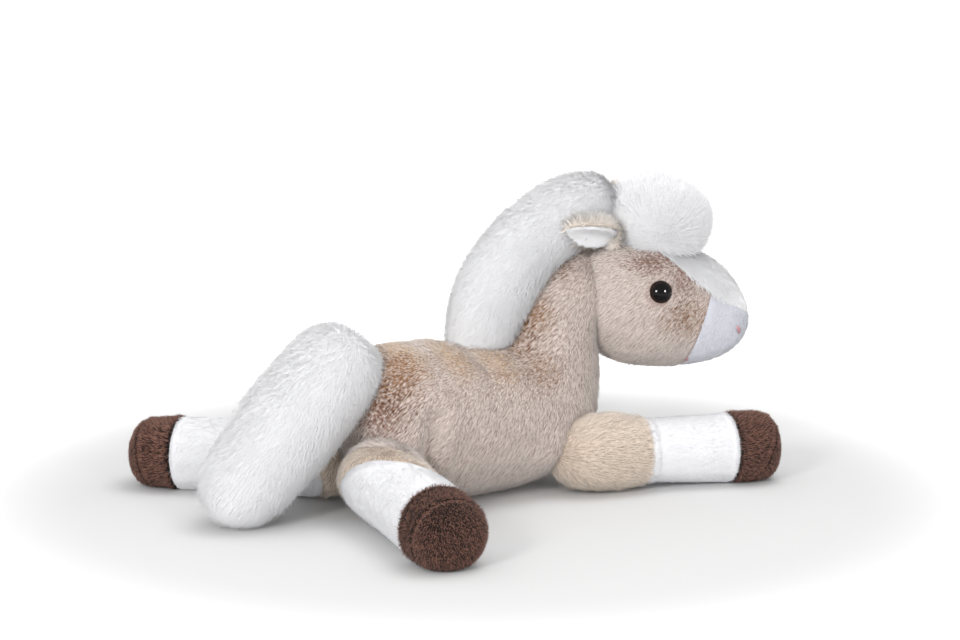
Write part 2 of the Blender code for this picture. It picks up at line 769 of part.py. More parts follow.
for side, sign in EYE_SIDES.items():
    outward = (math.cos(NOSTRIL_SIDE), sign * math.sin(NOSTRIL_SIDE), 0)
    nostril = seat_on(HEAD_FORM, (HEAD_START + NOSTRIL_FORWARD, 0, -NOSTRIL_DROP), outward)
    stitch(side + "_nostril_stitch", NOSTRIL_LENGTH, NOSTRIL_WIDTH, nostril)
    corner = seat_on(HEAD_FORM, (HEAD_START + MOUTH_FORWARD, 0, -MOUTH_DROP), (0, sign, 0))
    stitch(side + "_mouth_stitch", MOUTH_LENGTH, MOUTH_WIDTH, corner)
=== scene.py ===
"""Stuffed toy horse lying on its belly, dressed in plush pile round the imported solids.

Metres, +X forward, +Y to the horse's left, +Z up, origin on the floor under the belly.
"""

import json
import math

import bmesh
import bpy
import numpy as np
from mathutils import Matrix, Vector, noise
from mathutils.bvhtree import BVHTree


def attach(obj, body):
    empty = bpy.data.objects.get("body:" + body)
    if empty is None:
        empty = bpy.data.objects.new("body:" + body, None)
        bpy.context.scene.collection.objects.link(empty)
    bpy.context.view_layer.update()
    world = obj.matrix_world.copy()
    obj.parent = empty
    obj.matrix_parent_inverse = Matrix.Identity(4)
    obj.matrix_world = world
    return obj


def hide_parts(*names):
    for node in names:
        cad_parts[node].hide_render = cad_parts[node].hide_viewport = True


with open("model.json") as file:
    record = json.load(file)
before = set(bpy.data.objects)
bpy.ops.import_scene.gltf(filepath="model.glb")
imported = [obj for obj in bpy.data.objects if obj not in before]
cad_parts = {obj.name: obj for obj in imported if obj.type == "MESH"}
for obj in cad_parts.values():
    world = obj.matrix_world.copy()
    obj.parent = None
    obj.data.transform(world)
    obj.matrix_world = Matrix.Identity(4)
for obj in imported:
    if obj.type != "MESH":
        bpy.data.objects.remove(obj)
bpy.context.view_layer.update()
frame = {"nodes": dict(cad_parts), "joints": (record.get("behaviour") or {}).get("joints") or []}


# Camera, a long lens a little above the toy and off its right side.
# The picture is taken to be 960 pixels wide and 640 high.
CAMERA_PLACE = (-0.6838, -1.0608, 0.3244)
CAMERA_RIGHT = Vector((0.8387, -0.5446, 0))
CAMERA_UP = Vector((0.0992, 0.1528, 0.9833))
LENS_MM = 92.0
lens = bpy.data.cameras.new("camera")
lens.lens = LENS_MM
lens.clip_start = 0.05
lens.clip_end = 50
camera = bpy.data.objects.new("camera", lens)
bpy.context.scene.collection.objects.link(camera)
turn = Matrix((CAMERA_RIGHT, CAMERA_UP, CAMERA_RIGHT.cross(CAMERA_UP))).transposed()
camera.matrix_world = Matrix.Translation(CAMERA_PLACE) @ turn.to_4x4()
bpy.context.scene.camera = camera


# Studio: a seamless pale floor, an even sky, and softboxes to the left, to the right, low down and
# overhead. Floor and sky are white to the camera only, so that the toy is lit at a plain level; near
# the toy the floor's glow fades out, a painted shadow that lies over the real one.
def add(tree, kind, values=None, **settings):
    """Node with its settings, and its inputs set or linked."""
    made = tree.nodes.new(kind)
    for key, value in settings.items():
        setattr(made, key, value)
    for key, value in (values or {}).items():
        if isinstance(value, bpy.types.NodeSocket):
            tree.links.new(value, made.inputs[key])
        else:
            made.inputs[key].default_value = value
    return made


def number(tree, operation, *values):
    return add(tree, "ShaderNodeMath", dict(enumerate(values)), operation=operation).outputs[0]


def vector(tree, operation, *values):
    made = add(tree, "ShaderNodeVectorMath", dict(enumerate(values)), operation=operation)
    return made.outputs["Value" if operation in ("LENGTH", "DISTANCE") else "Vector"]


def scaled(tree, way, share):
    return add(tree, "ShaderNodeVectorMath", {0: way, "Scale": share}, operation="SCALE").outputs["Vector"]


def mapped(tree, value, start, end, kind="LINEAR"):
    """Number carried from one range into another, and held there."""
    ranges = dict(zip(("From Min", "From Max", "To Min", "To Max"), (*start, *end)))
    made = add(tree, "ShaderNodeMapRange", {"Value": value, **ranges}, interpolation_type=kind)
    return made.outputs["Result"]


def mixed(tree, share, first, second, kind="MIX"):
    values = {"Factor": share, 6: first, 7: second}
    return add(tree, "ShaderNodeMix", values, data_type="RGBA", blend_type=kind).outputs[2]


def clouds(tree, where, scale, detail):
    return add(tree, "ShaderNodeTexNoise", {"Vector": where, "Scale": scale, "Detail": detail}).outputs["Fac"]


def new_material(name):
    """Material and its tree of nodes, which is empty."""
    made = bpy.data.materials.new(name)
    made.use_nodes = True
    made.node_tree.nodes.clear()
    return made, made.node_tree


def rays_seen(tree):
    """1 for the rays that show the background: to the camera, off gloss and through glass."""
    path = add(tree, "ShaderNodeLightPath").outputs
    seen = number(tree, "MAXIMUM", path["Is Camera Ray"], path["Is Glossy Ray"])
    return number(tree, "MAXIMUM", seen, path["Is Transmission Ray"])


bpy.context.scene.view_settings.view_transform = "Standard"
SKY_LEVEL = 0.88
world = bpy.data.worlds.new("studio")
bpy.context.scene.world = world
world.use_nodes = True
tree = world.node_tree
tree.nodes.clear()
level = mapped(tree, rays_seen(tree), (0, 1), (SKY_LEVEL, 1))
sky = add(tree, "ShaderNodeBackground", {"Color": (1, 1, 1, 1), "Strength": level})
add(tree, "ShaderNodeOutputWorld", {"Surface": sky.outputs[0]})

FLOOR_TONE = (0.64, 0.64, 0.64, 1)
FLOOR_SIZE = 12.0
FLOOR_CENTRE = (0.0, 0.0, 0.0)
# How far from the toy the painted shadow on the floor reaches, from full to none
PAINTED_SHADOW_REACH = (0.20, 0.40)
bm = bmesh.new()
bmesh.ops.create_grid(bm, x_segments=1, y_segments=1, size=FLOOR_SIZE / 2)
floor_mesh = bpy.data.meshes.new("floor")
bm.to_mesh(floor_mesh)
bm.free()
floor = bpy.data.objects.new("floor", floor_mesh)
bpy.context.scene.collection.objects.link(floor)
# The floor glows to the camera only away from the toy; near it the glow fades to nothing, so the grey floor
# shows there as painted shadow
paper, tree = new_material("floor_paper")
place = add(tree, "ShaderNodeTexCoord").outputs["Object"]
away = vector(tree, "DISTANCE", place, FLOOR_CENTRE)
painted_shadow_fade = mapped(tree, away, PAINTED_SHADOW_REACH, (0, 1), "SMOOTHSTEP")
shown = number(tree, "MULTIPLY", painted_shadow_fade, rays_seen(tree))
matt = add(tree, "ShaderNodeBsdfDiffuse", {"Color": FLOOR_TONE})
light = add(tree, "ShaderNodeEmission", {"Strength": shown})
both = add(tree, "ShaderNodeAddShader", {0: matt.outputs[0], 1: light.outputs[0]})
add(tree, "ShaderNodeOutputMaterial", {"Surface": both.outputs[0]})
floor_mesh.materials.append(paper)

SOFTBOXES = (
    ("softbox_left", (-1.30, -0.70, 0.72), 0.34, 9.6),
    ("softbox_right", (-0.08, -1.47, 0.72), 0.34, 2.5),
    ("softbox_low", (-0.75, -1.28, 0.20), 0.60, 4.4),
    ("softbox_top", (0.35, -0.10, 1.40), 0.80, 6.6),
)
AIM = (0, 0, 0.06)


def softbox(name, spot, size, power, aim):
    lamp = bpy.data.lights.new(name, "AREA")
    lamp.shape = "SQUARE"
    lamp.size = size
    lamp.energy = power
    made = bpy.data.objects.new(name, lamp)
    made.location = spot
    made.rotation_euler = (Vector(aim) - Vector(spot)).to_track_quat("-Z", "Y").to_euler()
    bpy.context.scene.collection.objects.link(made)
    return made


for name, spot, size, power in SOFTBOXES:
    softbox(name, spot, size, power, AIM).visible_glossy = False


# Stuffed forms: every cover is pulled tight over polyester wool. Each form is one closed skin round
# a cover and its wool, evened out as stretched plush is, and let out a little.
JOINTS = {joint["child"]: joint for joint in frame["joints"]}
UP, DOWN = Vector((0, 0, 1)), Vector((0, 0, -1))
SIDES = ("right", "left")
LEGS = ("front_right", "front_left", "hind_right", "hind_left")
LEG_NODES = ("_leg_upper_cover", "_leg_lower_cover", "_hoof_cover", "_sole", "_leg_filling")
# Each form's pieces, voxel, how far it is let out and how lumpy it is
STUFFED = {
    "body": (("body_cover", "body_filling"), 0.0019, 0.0009, 0.0014),
    "mane": (("mane_cover", "mane_filling"), 0.0016, 0.0009, 0.0022),
    "head": (("head_cover", "muzzle_cover", "blaze", "head_filling"), 0.0013, 0.0008, 0.0008),
    "forelock": (("forelock_cover", "forelock_filling"), 0.0013, 0.0008, 0.0030),
    "tail": (("tail_cover", "tail_filling"), 0.0016, 0.0009, 0.0024),
}
for leg in LEGS:
    STUFFED[leg] = (tuple(leg + node for node in LEG_NODES), 0.0012, 0.0010, 0.0012)
EVENING_ROUNDS = 30
LUMP_SIZE = 0.024
MERGE_DISTANCE = 0.000001
FLOOR_CLEARANCE = 0.0002
SWELL_FAR_SHARE, SWELL_WIDE_SHARE, SWELL_HIGH_SHARE = 2.3, 1.2, 0.45


def linked(name, mesh):
    made = bpy.data.objects.new(name, mesh)
    bpy.context.scene.collection.objects.link(made)
    return made


def settled(piece, name):
    """Plain mesh of a piece with its modifiers applied; the piece itself goes."""
    mesh = bpy.data.meshes.new_from_object(piece.evaluated_get(bpy.context.evaluated_depsgraph_get()))
    mesh.name = name
    bpy.data.objects.remove(piece, do_unlink=True)
    return mesh


def points_of(mesh):
    flat = np.empty(len(mesh.vertices) * 3)
    mesh.vertices.foreach_get("co", flat)
    return flat.reshape(-1, 3)


def normals_of(mesh):
    flat = np.empty(len(mesh.vertices) * 3)
    mesh.vertices.foreach_get("normal", flat)
    return flat.reshape(-1, 3)


def centre_of(node):
    return Vector(points_of(frame["nodes"][node].data).mean(0))


def ways_of(node):
    """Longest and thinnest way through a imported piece."""
    spots = points_of(frame["nodes"][node].data)
    ways = np.linalg.svd(spots - spots.mean(0), full_matrices=False)[2]
    return Vector(ways[0]), Vector(ways[2])


def turned_to(way, aim):
    """The way or its opposite, whichever faces the aim."""
    return way if way.dot(aim) > 0 else -way


def lumps(spots):
    """Uneven stuffing, from 0 to about 1."""
    return np.array([0.5 + 0.5 * noise.noise(Vector(spot) / LUMP_SIZE) for spot in spots])


def stuffed_form(name, nodes, voxel, plump, lump=0.0):
    bm = bmesh.new()
    for node in nodes:
        bm.from_mesh(frame["nodes"][node].data)
    bmesh.ops.remove_doubles(bm, verts=bm.verts, dist=MERGE_DISTANCE)
    mesh = bpy.data.meshes.new(name)
    bm.to_mesh(mesh)
    bm.free()
    form = linked(name, mesh)
    remesh = form.modifiers.new("skin", "REMESH")
    remesh.mode = "VOXEL"
    remesh.voxel_size = voxel
    remesh.use_smooth_shade = True
    evened = form.modifiers.new("evened", "SMOOTH")
    evened.iterations = EVENING_ROUNDS
    full = form.modifiers.new("full", "DISPLACE")
    full.strength = plump
    full.mid_level = 0
    made = settled(form, name)
    spots = points_of(made)
    if lump:
        spots += normals_of(made) * (lumps(spots) * lump)[:, None]
    spots[:, 2] = np.maximum(spots[:, 2], FLOOR_CLEARANCE)
    made.vertices.foreach_set("co", spots.ravel())
    made.update()
    return made


def tree_of(mesh):
    return BVHTree.FromPolygons(
        [vertex.co for vertex in mesh.vertices], [face.vertices for face in mesh.polygons]
    )


def outside(spots, form):
    """How far each spot stands outside a form; below zero inside it."""
    found = np.empty(len(spots))
    for i, spot in enumerate(spots):
        near, normal, _, _ = form.find_nearest(Vector(spot))
        step = Vector(spot) - near
        found[i] = math.copysign(step.length, step.dot(normal))
    return found


def shifted(mesh, amount):
    """Moves a form's surface in or out."""
    spots = points_of(mesh) + normals_of(mesh) * amount[:, None]
    spots[:, 2] = np.maximum(spots[:, 2], FLOOR_CLEARANCE)
    mesh.vertices.foreach_set("co", spots.ravel())
    mesh.update()


def drawn_in(far, depth, width):
    """Profile of a seam or fold: a groove at 0, and the cloth swelling beside it."""
    groove = np.exp(-((far / width) ** 2))
    beside = (np.abs(far) - SWELL_FAR_SHARE * width) / (SWELL_WIDE_SHARE * width)
    return (np.exp(-(beside**2)) * SWELL_HIGH_SHARE - groove) * depth


def off_line(spots, line):
    """Distance of each spot from a line through a few points."""
    least = np.full(len(spots), np.inf)
    for start, end in zip(line, line[1:]):
        start, step = np.array(start), np.array(end) - np.array(start)
        share = np.clip((spots - start) @ step / (step @ step), 0, 1)
        least = np.minimum(least, np.linalg.norm(spots - start - share[:, None] * step, axis=1))
    return least


FORMS = {name: stuffed_form(name, *sizes) for name, sizes in STUFFED.items()}
SURFACES = {name: tree_of(mesh) for name, mesh in FORMS.items()}


# Pile: tapered tufts planted over a skin by geometry nodes, combed along its nap and pulled
# together into small locks. A skin says where the pile is worn away and how long it stands.
def pile_nodes():
    tree = bpy.data.node_groups.new("plush_pile", "GeometryNodeTree")
    face = tree.interface
    face.new_socket("Pile", in_out="OUTPUT", socket_type="NodeSocketGeometry")
    face.new_socket("Skin", in_out="INPUT", socket_type="NodeSocketGeometry")
    for name in PILE_SIZES:
        face.new_socket(name, in_out="INPUT", socket_type="NodeSocketFloat")
    face.new_socket("Seed", in_out="INPUT", socket_type="NodeSocketInt")
    face.new_socket("Finish", in_out="INPUT", socket_type="NodeSocketMaterial")
    given = add(tree, "NodeGroupInput").outputs

    def read(name, kind="FLOAT"):
        made = add(tree, "GeometryNodeInputNamedAttribute", {"Name": name}, data_type=kind)
        return made.outputs["Attribute"]

    def stored(geometry, name, value, kind="FLOAT"):
        values = {"Geometry": geometry, "Name": name, "Value": value}
        made = add(tree, "GeometryNodeStoreNamedAttribute", values, data_type=kind, domain="POINT")
        return made.outputs[0]

    def chance(low, high, step, kind="FLOAT"):
        seed = number(tree, "ADD", given["Seed"], step)
        made = add(tree, "FunctionNodeRandomValue", {"Seed": seed}, data_type=kind)
        used = [socket for socket in made.inputs if socket.enabled]
        used[0].default_value, used[1].default_value = low, high
        return next(socket for socket in made.outputs if socket.enabled)

    density = number(tree, "MULTIPLY", given["Tufts per square metre"], read("cover"))
    planted = add(
        tree,
        "GeometryNodeDistributePointsOnFaces",
        {"Mesh": given["Skin"], "Density": density, "Seed": given["Seed"]},
        distribute_method="RANDOM",
    ).outputs["Points"]
    outward = vector(tree, "NORMALIZE", read("outward", "FLOAT_VECTOR"))
    spot = add(tree, "GeometryNodeInputPosition").outputs[0]
    planted = stored(planted, "root_normal", outward, "FLOAT_VECTOR")
    planted = stored(planted, "root", spot, "FLOAT_VECTOR")
    scale = number(tree, "DIVIDE", 1.0, given["Lock size"])
    locks = add(tree, "ShaderNodeTexNoise", {"Vector": spot, "Scale": scale}).outputs["Color"]
    pull = scaled(tree, vector(tree, "SUBTRACT", locks, (0.5, 0.5, 0.5)), given["Lock pull"])
    wild = number(tree, "POWER", chance(0, 1, 4), STRAY_RARITY)
    wild = number(tree, "ADD", number(tree, "MULTIPLY", wild, STRAY_REACH), NEATNESS)
    loose = number(tree, "MULTIPLY", given["Scatter"], wild)
    stray = scaled(tree, chance((-1, -1, -1), (1, 1, 1), 1, "FLOAT_VECTOR"), loose)
    upright = scaled(tree, outward, number(tree, "SUBTRACT", 1.0, given["Lean"]))
    combed = scaled(tree, read("nap", "FLOAT_VECTOR"), given["Lean"])
    direction = vector(tree, "ADD", vector(tree, "ADD", upright, combed), vector(tree, "ADD", pull, stray))
    roll = add(tree, "ShaderNodeCombineXYZ", {"Z": chance(0, math.tau, 2)}).outputs[0]
    roll = add(tree, "FunctionNodeEulerToRotation", {"Euler": roll}).outputs[0]
    aimed = add(tree, "FunctionNodeAlignRotationToVector", {"Rotation": roll, "Vector": direction}, axis="Z")
    shorter = number(tree, "MULTIPLY", given["Length spread"], chance(0, 1, 3))
    shorter = number(tree, "SUBTRACT", 1.0, shorter)
    long = number(tree, "MULTIPLY", number(tree, "MULTIPLY", given["Length"], read("stand")), shorter)
    size = add(tree, "ShaderNodeCombineXYZ", {"X": given["Thickness"], "Y": given["Thickness"], "Z": long})
    sink = scaled(tree, outward, number(tree, "MULTIPLY", given["Root depth"], -1.0))
    sunk = add(tree, "GeometryNodeSetPosition", {"Geometry": planted, "Offset": sink}).outputs[0]
    whole = {"Vertices": 3, "Side Segments": 1, "Fill Segments": 1}
    spike = {"Radius Top": 0, "Radius Bottom": 1, "Depth": 1}
    tuft = add(tree, "GeometryNodeMeshCone", {**whole, **spike}, fill_type="NGON").outputs["Mesh"]
    tuft = stored(tuft, "tip", add(tree, "ShaderNodeSeparateXYZ", {0: spot}).outputs["Z"])
    tufts = add(
        tree,
        "GeometryNodeInstanceOnPoints",
        {"Points": sunk, "Instance": tuft, "Rotation": aimed.outputs[0], "Scale": size.outputs[0]},
    ).outputs[0]
    grown = add(tree, "GeometryNodeRealizeInstances", {0: tufts}).outputs[0]
    finished = add(tree, "GeometryNodeSetMaterial", {"Geometry": grown, "Material": given["Finish"]})
    add(tree, "NodeGroupOutput", {0: finished.outputs[0]})
    return tree


PILE_SIZES = (
    "Tufts per square metre",
    "Length",
    "Length spread",
    "Thickness",
    "Lean",
    "Scatter",
    "Lock size",
    "Lock pull",
    "Root depth",
)
STRAY_RARITY, STRAY_REACH, NEATNESS = 6.0, 5.0, 0.5
PILE = pile_nodes()
# Share of the skin's own way in a tuft's normals
VELVETY, CRISP, SATIN, SILKY = 0.35, 0.55, 0.75, 0.88
SILKY_LIFT = 0.35
PRESSED_HEIGHTS, PRESSED_TURNS = (0.0012, 0.0035), (0.2, 0.8)
CORNERS = 4
TUFT_FACES = ((0, 1, 3), (1, 2, 3), (2, 0, 3), (2, 1, 0))
TUFT_CELL = np.array(((0.2, 0.2), (0.8, 0.2), (0.5, 0.4), (0.5, 0.85)))
TIP_CLEARANCE = 0.0004
NEAR_ZERO = 1e-9
CELL_BITS = 10


def attribute_of(mesh, name, width):
    flat = np.empty(len(mesh.vertices) * width)
    mesh.attributes[name].data.foreach_get("vector" if width == 3 else "value", flat)
    return flat.reshape(-1, width)


def give(mesh, name, values):
    kind = "FLOAT_VECTOR" if values.ndim == 2 else "FLOAT"
    made = mesh.attributes.new(name, kind, "POINT")
    made.data.foreach_set("vector" if values.ndim == 2 else "value", values.ravel())


def away_from(spots, centre):
    return np.linalg.norm(spots - np.array(centre), axis=1)


def unit(vectors):
    return vectors / np.maximum(np.linalg.norm(vectors, axis=-1, keepdims=True), NEAR_ZERO)


def rise(values, low, high):
    """Smooth step from 0 at low to 1 at high."""
    share = np.clip((values - low) / (high - low), 0, 1)
    return share * share * (3 - 2 * share)


def groom(mesh, nap, cover=1.0, stand=1.0, flat=1.0):
    """Marks a skin with its combed direction, where pile covers it and how long it stands."""
    spots, outward = points_of(mesh), normals_of(mesh)
    flow = np.broadcast_to(np.asarray(nap, float), spots.shape)
    flow = unit(flow - outward * (flow * outward).sum(1, keepdims=True))
    pressed = 1 - rise(spots[:, 2], *PRESSED_HEIGHTS)
    pressed = pressed * rise(-outward[:, 2], *PRESSED_TURNS)
    give(mesh, "outward", outward)
    give(mesh, "nap", flow * np.reshape(flat, (-1, 1)))
    give(mesh, "cover", np.ones(len(spots)) * cover * (1 - pressed))
    give(mesh, "stand", np.ones(len(spots)) * stand)


def grow(name, skin, body, finish, sizes, seed, shares=1, soft=CRISP):
    """Pile over a groomed skin, as one piece or as several that lie one after another."""
    grower = linked(name, skin.copy())
    modifier = grower.modifiers.new("pile", "NODES")
    modifier.node_group = PILE
    inputs = [item for item in PILE.interface.items_tree if item.in_out == "INPUT"]
    sockets = {item.name: item.identifier for item in inputs}
    for label, value in zip(PILE_SIZES, sizes):
        modifier[sockets[label]] = value
    modifier[sockets["Seed"]] = seed
    modifier[sockets["Finish"]] = finish
    grown = settled(grower, name)
    tips = attribute_of(grown, "tip", 1).reshape(-1, CORNERS)
    order = np.argsort(tips[0], kind="stable")
    spots = points_of(grown).reshape(-1, CORNERS, 3)[:, order]
    roots = attribute_of(grown, "root", 3)[::CORNERS]
    outward = attribute_of(grown, "root_normal", 3)[::CORNERS]
    bpy.data.meshes.remove(grown)
    spots[:, :, 2] = np.maximum(spots[:, :, 2], FLOOR_CLEARANCE)
    spots[:, 3, 2] = np.maximum(spots[:, 3, 2], TIP_CLEARANCE)
    ranked = np.argsort(roots[:, 0], kind="stable")
    pieces = []
    for i, chosen in enumerate(np.array_split(ranked, shares)):
        label = name if shares == 1 else f"{name}_{i + 1}"
        pieces.append(tufts(label, spots[chosen], roots[chosen], outward[chosen], finish, soft))
        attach(pieces[-1], body)
    return pieces


def tufts(name, spots, roots, outward, finish, soft_share):
    """Closed four-sided tufts with normals that follow the skin, so that the pile shades as one."""
    count = len(spots)
    starts = np.arange(count)[:, None, None] * CORNERS
    faces = (np.array(TUFT_FACES)[None] + starts).reshape(-1)
    mesh = bpy.data.meshes.new(name)
    mesh.vertices.add(count * CORNERS)
    mesh.vertices.foreach_set("co", spots.ravel())
    mesh.loops.add(len(faces))
    mesh.loops.foreach_set("vertex_index", faces)
    mesh.polygons.add(len(faces) // 3)
    mesh.polygons.foreach_set("loop_start", np.arange(0, len(faces), 3))
    mesh.polygons.foreach_set("loop_total", np.full(len(faces) // 3, 3))
    mesh.update(calc_edges=True)
    mesh.shade_smooth()
    middle = spots[:, :3].mean(1, keepdims=True)
    aside = spots - middle
    aside[:, 3] = 0
    aside = unit(aside)
    if soft_share >= SATIN:
        outward = unit(outward + np.array((0, 0, SILKY_LIFT)))
    soft = outward[:, None, :] * soft_share + aside * (1 - soft_share)
    mesh.normals_split_custom_set_from_vertices(unit(soft.reshape(-1, 3)))
    rng = np.random.default_rng(count)
    give(mesh, "tip", np.tile((0.0, 0.0, 0.0, 1.0), count))
    give(mesh, "shade", np.repeat(rng.random(count), CORNERS))
    give(mesh, "root", np.repeat(roots, CORNERS, axis=0))
    layer = mesh.uv_layers.new(name="OFBake")
    cells = tuft_cells(roots)[:, None, :] + TUFT_CELL[None]
    side = math.ceil(math.sqrt(count))
    layer.data.foreach_set("uv", (cells.reshape(-1, 2)[faces] / side).ravel())
    mesh.materials.append(finish)
    return linked(name, mesh)


def tuft_cells(roots):
    """Cell of the map for each tuft, with near tufts in near cells."""
    reach = np.ptp(roots, axis=0).max()
    steps = ((roots - roots.min(0)) / reach * (2**CELL_BITS - 1)).astype(np.int64)
    code = np.zeros(len(roots), np.int64)
    for bit in range(CELL_BITS):
        for axis in range(3):
            code |= ((steps[:, axis] >> bit) & 1) << (3 * bit + axis)
    rank = np.empty(len(roots), np.int64)
    rank[np.argsort(code, kind="stable")] = np.arange(len(roots))
    row, column = np.divmod(rank, math.ceil(math.sqrt(len(roots))))
    return np.stack((column, row), axis=1).astype(float)


# Plush finishes: each tuft is darker at its root and paler at its tip, where the darker root is
# painted shade of the pile's depth, which the bare skin shows too; tufts differ a little, and the
# dyed cloth drifts in tone from place to place.
TIP_CURVE = 0.75
CLOUD_DETAIL, FLECK_DETAIL = 3.0, 1.0
RAGGED_SCALE, RAGGED_REACH, SPOT_EDGE = 420.0, 0.55, (0.75, 1.65)
SOAKED_FROM_ROOT = (1.3, 0.75)
FLECK_SCALE, FLECK_SPREAD, FLECK_DEPTH = 640.0, (0.36, 0.64), (0.1, 2.0)
SHEEN, SHEEN_ROUGHNESS, CLOTH_ROUGHNESS, CLOTH_GLOSS = 0.3, 0.6, 0.95, 0.12


def shader_group(name, colours, vectors, numbers):
    """Group of shader nodes that gives a colour, and what it is given."""
    tree = bpy.data.node_groups.new(name, "ShaderNodeTree")
    tree.interface.new_socket("Colour", in_out="OUTPUT", socket_type="NodeSocketColor")
    for kind, labels in (("Color", colours), ("Vector", vectors), ("Float", numbers)):
        for label in labels:
            tree.interface.new_socket(label, in_out="INPUT", socket_type="NodeSocket" + kind)
    return tree, add(tree, "NodeGroupInput").outputs


def tone_group():
    drifts = ("Tuft drift", "Cloth drift", "Cloth drift size")
    tree, given = shader_group("pile_tone", ("Root", "Tip"), (), drifts)
    tip = add(tree, "ShaderNodeAttribute", attribute_name="tip").outputs["Fac"]
    shade = add(tree, "ShaderNodeAttribute", attribute_name="shade").outputs["Fac"]
    where = add(tree, "ShaderNodeTexCoord").outputs["Object"]
    cloud = clouds(tree, where, number(tree, "DIVIDE", 1.0, given["Cloth drift size"]), CLOUD_DETAIL)
    # Root colour to tip colour: the dark root is painted shade deep in the pile
    tone = mixed(tree, number(tree, "POWER", tip, TIP_CURVE), given["Root"], given["Tip"])
    for value, drift in ((shade, given["Tuft drift"]), (cloud, given["Cloth drift"])):
        offset = number(tree, "SUBTRACT", value, 0.5)
        tone = scaled(tree, tone, number(tree, "MULTIPLY_ADD", offset, drift, 1.0))
    add(tree, "NodeGroupOutput", {0: tone})
    return tree


def airbrush_group():
    """Soft-edged spot of dye, ragged where it thins out and flecked where it soaked in."""
    tree, given = shader_group("airbrush", ("Colour", "Dye"), ("Centre", "Reach"), ("Strength",))
    tip = add(tree, "ShaderNodeAttribute", attribute_name="tip").outputs["Fac"]
    shade = add(tree, "ShaderNodeAttribute", attribute_name="shade").outputs["Fac"]
    where = add(tree, "ShaderNodeTexCoord").outputs["Object"]
    step = vector(tree, "SUBTRACT", where, given["Centre"])
    far = vector(tree, "LENGTH", vector(tree, "DIVIDE", step, given["Reach"]))
    ragged = number(tree, "ADD", clouds(tree, where, RAGGED_SCALE, CLOUD_DETAIL), shade)
    edge = number(tree, "MULTIPLY_ADD", ragged, RAGGED_REACH, far)
    mask = mapped(tree, edge, SPOT_EDGE, (1, 0), "SMOOTHSTEP")
    low = mapped(tree, tip, (0, 1), SOAKED_FROM_ROOT)
    fleck = mapped(tree, clouds(tree, where, FLECK_SCALE, FLECK_DETAIL), FLECK_SPREAD, FLECK_DEPTH)
    soaked = number(tree, "MULTIPLY", number(tree, "MULTIPLY", mask, low), fleck)
    amount = number(tree, "MINIMUM", number(tree, "MULTIPLY", soaked, given["Strength"]), 1.0)
    add(tree, "NodeGroupOutput", {0: mixed(tree, amount, given["Colour"], given["Dye"], "MULTIPLY")})
    return tree


TONE = tone_group()
AIRBRUSH = airbrush_group()


def plush(name, root, tip, tuft_drift, cloth_drift, drift_size, spots=(), sheen=SHEEN):
    made, tree = new_material(name)
    values = {
        "Root": (*root, 1),
        "Tip": (*tip, 1),
        "Tuft drift": tuft_drift,
        "Cloth drift": cloth_drift,
        "Cloth drift size": drift_size,
    }
    colour = add(tree, "ShaderNodeGroup", values, node_tree=TONE).outputs["Colour"]
    for dye, centre, reach, strength in spots:
        values = {"Colour": colour, "Dye": (*dye, 1), "Centre": centre, "Reach": reach, "Strength": strength}
        colour = add(tree, "ShaderNodeGroup", values, node_tree=AIRBRUSH).outputs["Colour"]
    cloth = add(tree, "ShaderNodeBsdfPrincipled", {"Base Color": colour})
    cloth.inputs["Roughness"].default_value = CLOTH_ROUGHNESS
    cloth.inputs["Specular IOR Level"].default_value = CLOTH_GLOSS
    cloth.inputs["Sheen Weight"].default_value = sheen
    cloth.inputs["Sheen Roughness"].default_value = SHEEN_ROUGHNESS
    add(tree, "ShaderNodeOutputMaterial", {"Surface": cloth.outputs[0]})
    return made


BROWN_DYE = (0.50, 0.31, 0.17)
MAUVE_DYE = (0.46, 0.32, 0.27)
GOLD_DYE = (1.0, 0.86, 0.66)
BODY_SPOTS = (
    (GOLD_DYE, (-0.050, -0.012, 0.080), (0.012, 0.034, 0.014), 1.0),
    (GOLD_DYE, (-0.024, -0.018, 0.078), (0.012, 0.034, 0.014), 0.9),
    (GOLD_DYE, (0.000, -0.020, 0.072), (0.014, 0.030, 0.014), 0.8),
    (BROWN_DYE, (-0.062, -0.020, 0.069), (0.018, 0.022, 0.026), 0.80),
    (BROWN_DYE, (-0.062, 0.020, 0.069), (0.018, 0.022, 0.026), 0.80),
    (MAUVE_DYE, (-0.071, -0.020, 0.053), (0.018, 0.026, 0.018), 0.8),
    (BROWN_DYE, (0.023, -0.028, 0.066), (0.016, 0.020, 0.016), 0.38),
    (BROWN_DYE, (0.023, 0.028, 0.066), (0.016, 0.020, 0.016), 0.38),
    (BROWN_DYE, (0.018, 0.0, 0.078), (0.018, 0.026, 0.014), 0.8),
    (BROWN_DYE, (0.030, 0.0, 0.092), (0.013, 0.028, 0.018), 1.0),
    (BROWN_DYE, (0.047, 0.0, 0.120), (0.012, 0.028, 0.012), 0.8),
)
# Each finish runs from a root colour, which the bare skin also takes, to a tip colour; the darker root is
# painted shade of the pile
BEIGE = plush("beige_plush", (0.42, 0.315, 0.275), (0.95, 0.855, 0.79), 0.40, 0.14, 0.018, BODY_SPOTS)
CREAM = plush("cream_plush", (0.52, 0.40, 0.31), (0.95, 0.83, 0.71), 0.45, 0.14, 0.012)
LONG_WHITE = plush("long_white_pile", (0.90, 0.90, 0.92), (0.97, 0.97, 0.98), 0.05, 0.03, 0.012)
# The ears' plush is paler than the thighs' cream, and paler still as painted light against the shade that the
# mane casts on them
LIT_EAR_CREAM = plush("ear_plush_lit", (0.76, 0.66, 0.57), (0.98, 0.93, 0.87), 0.30, 0.10, 0.010)
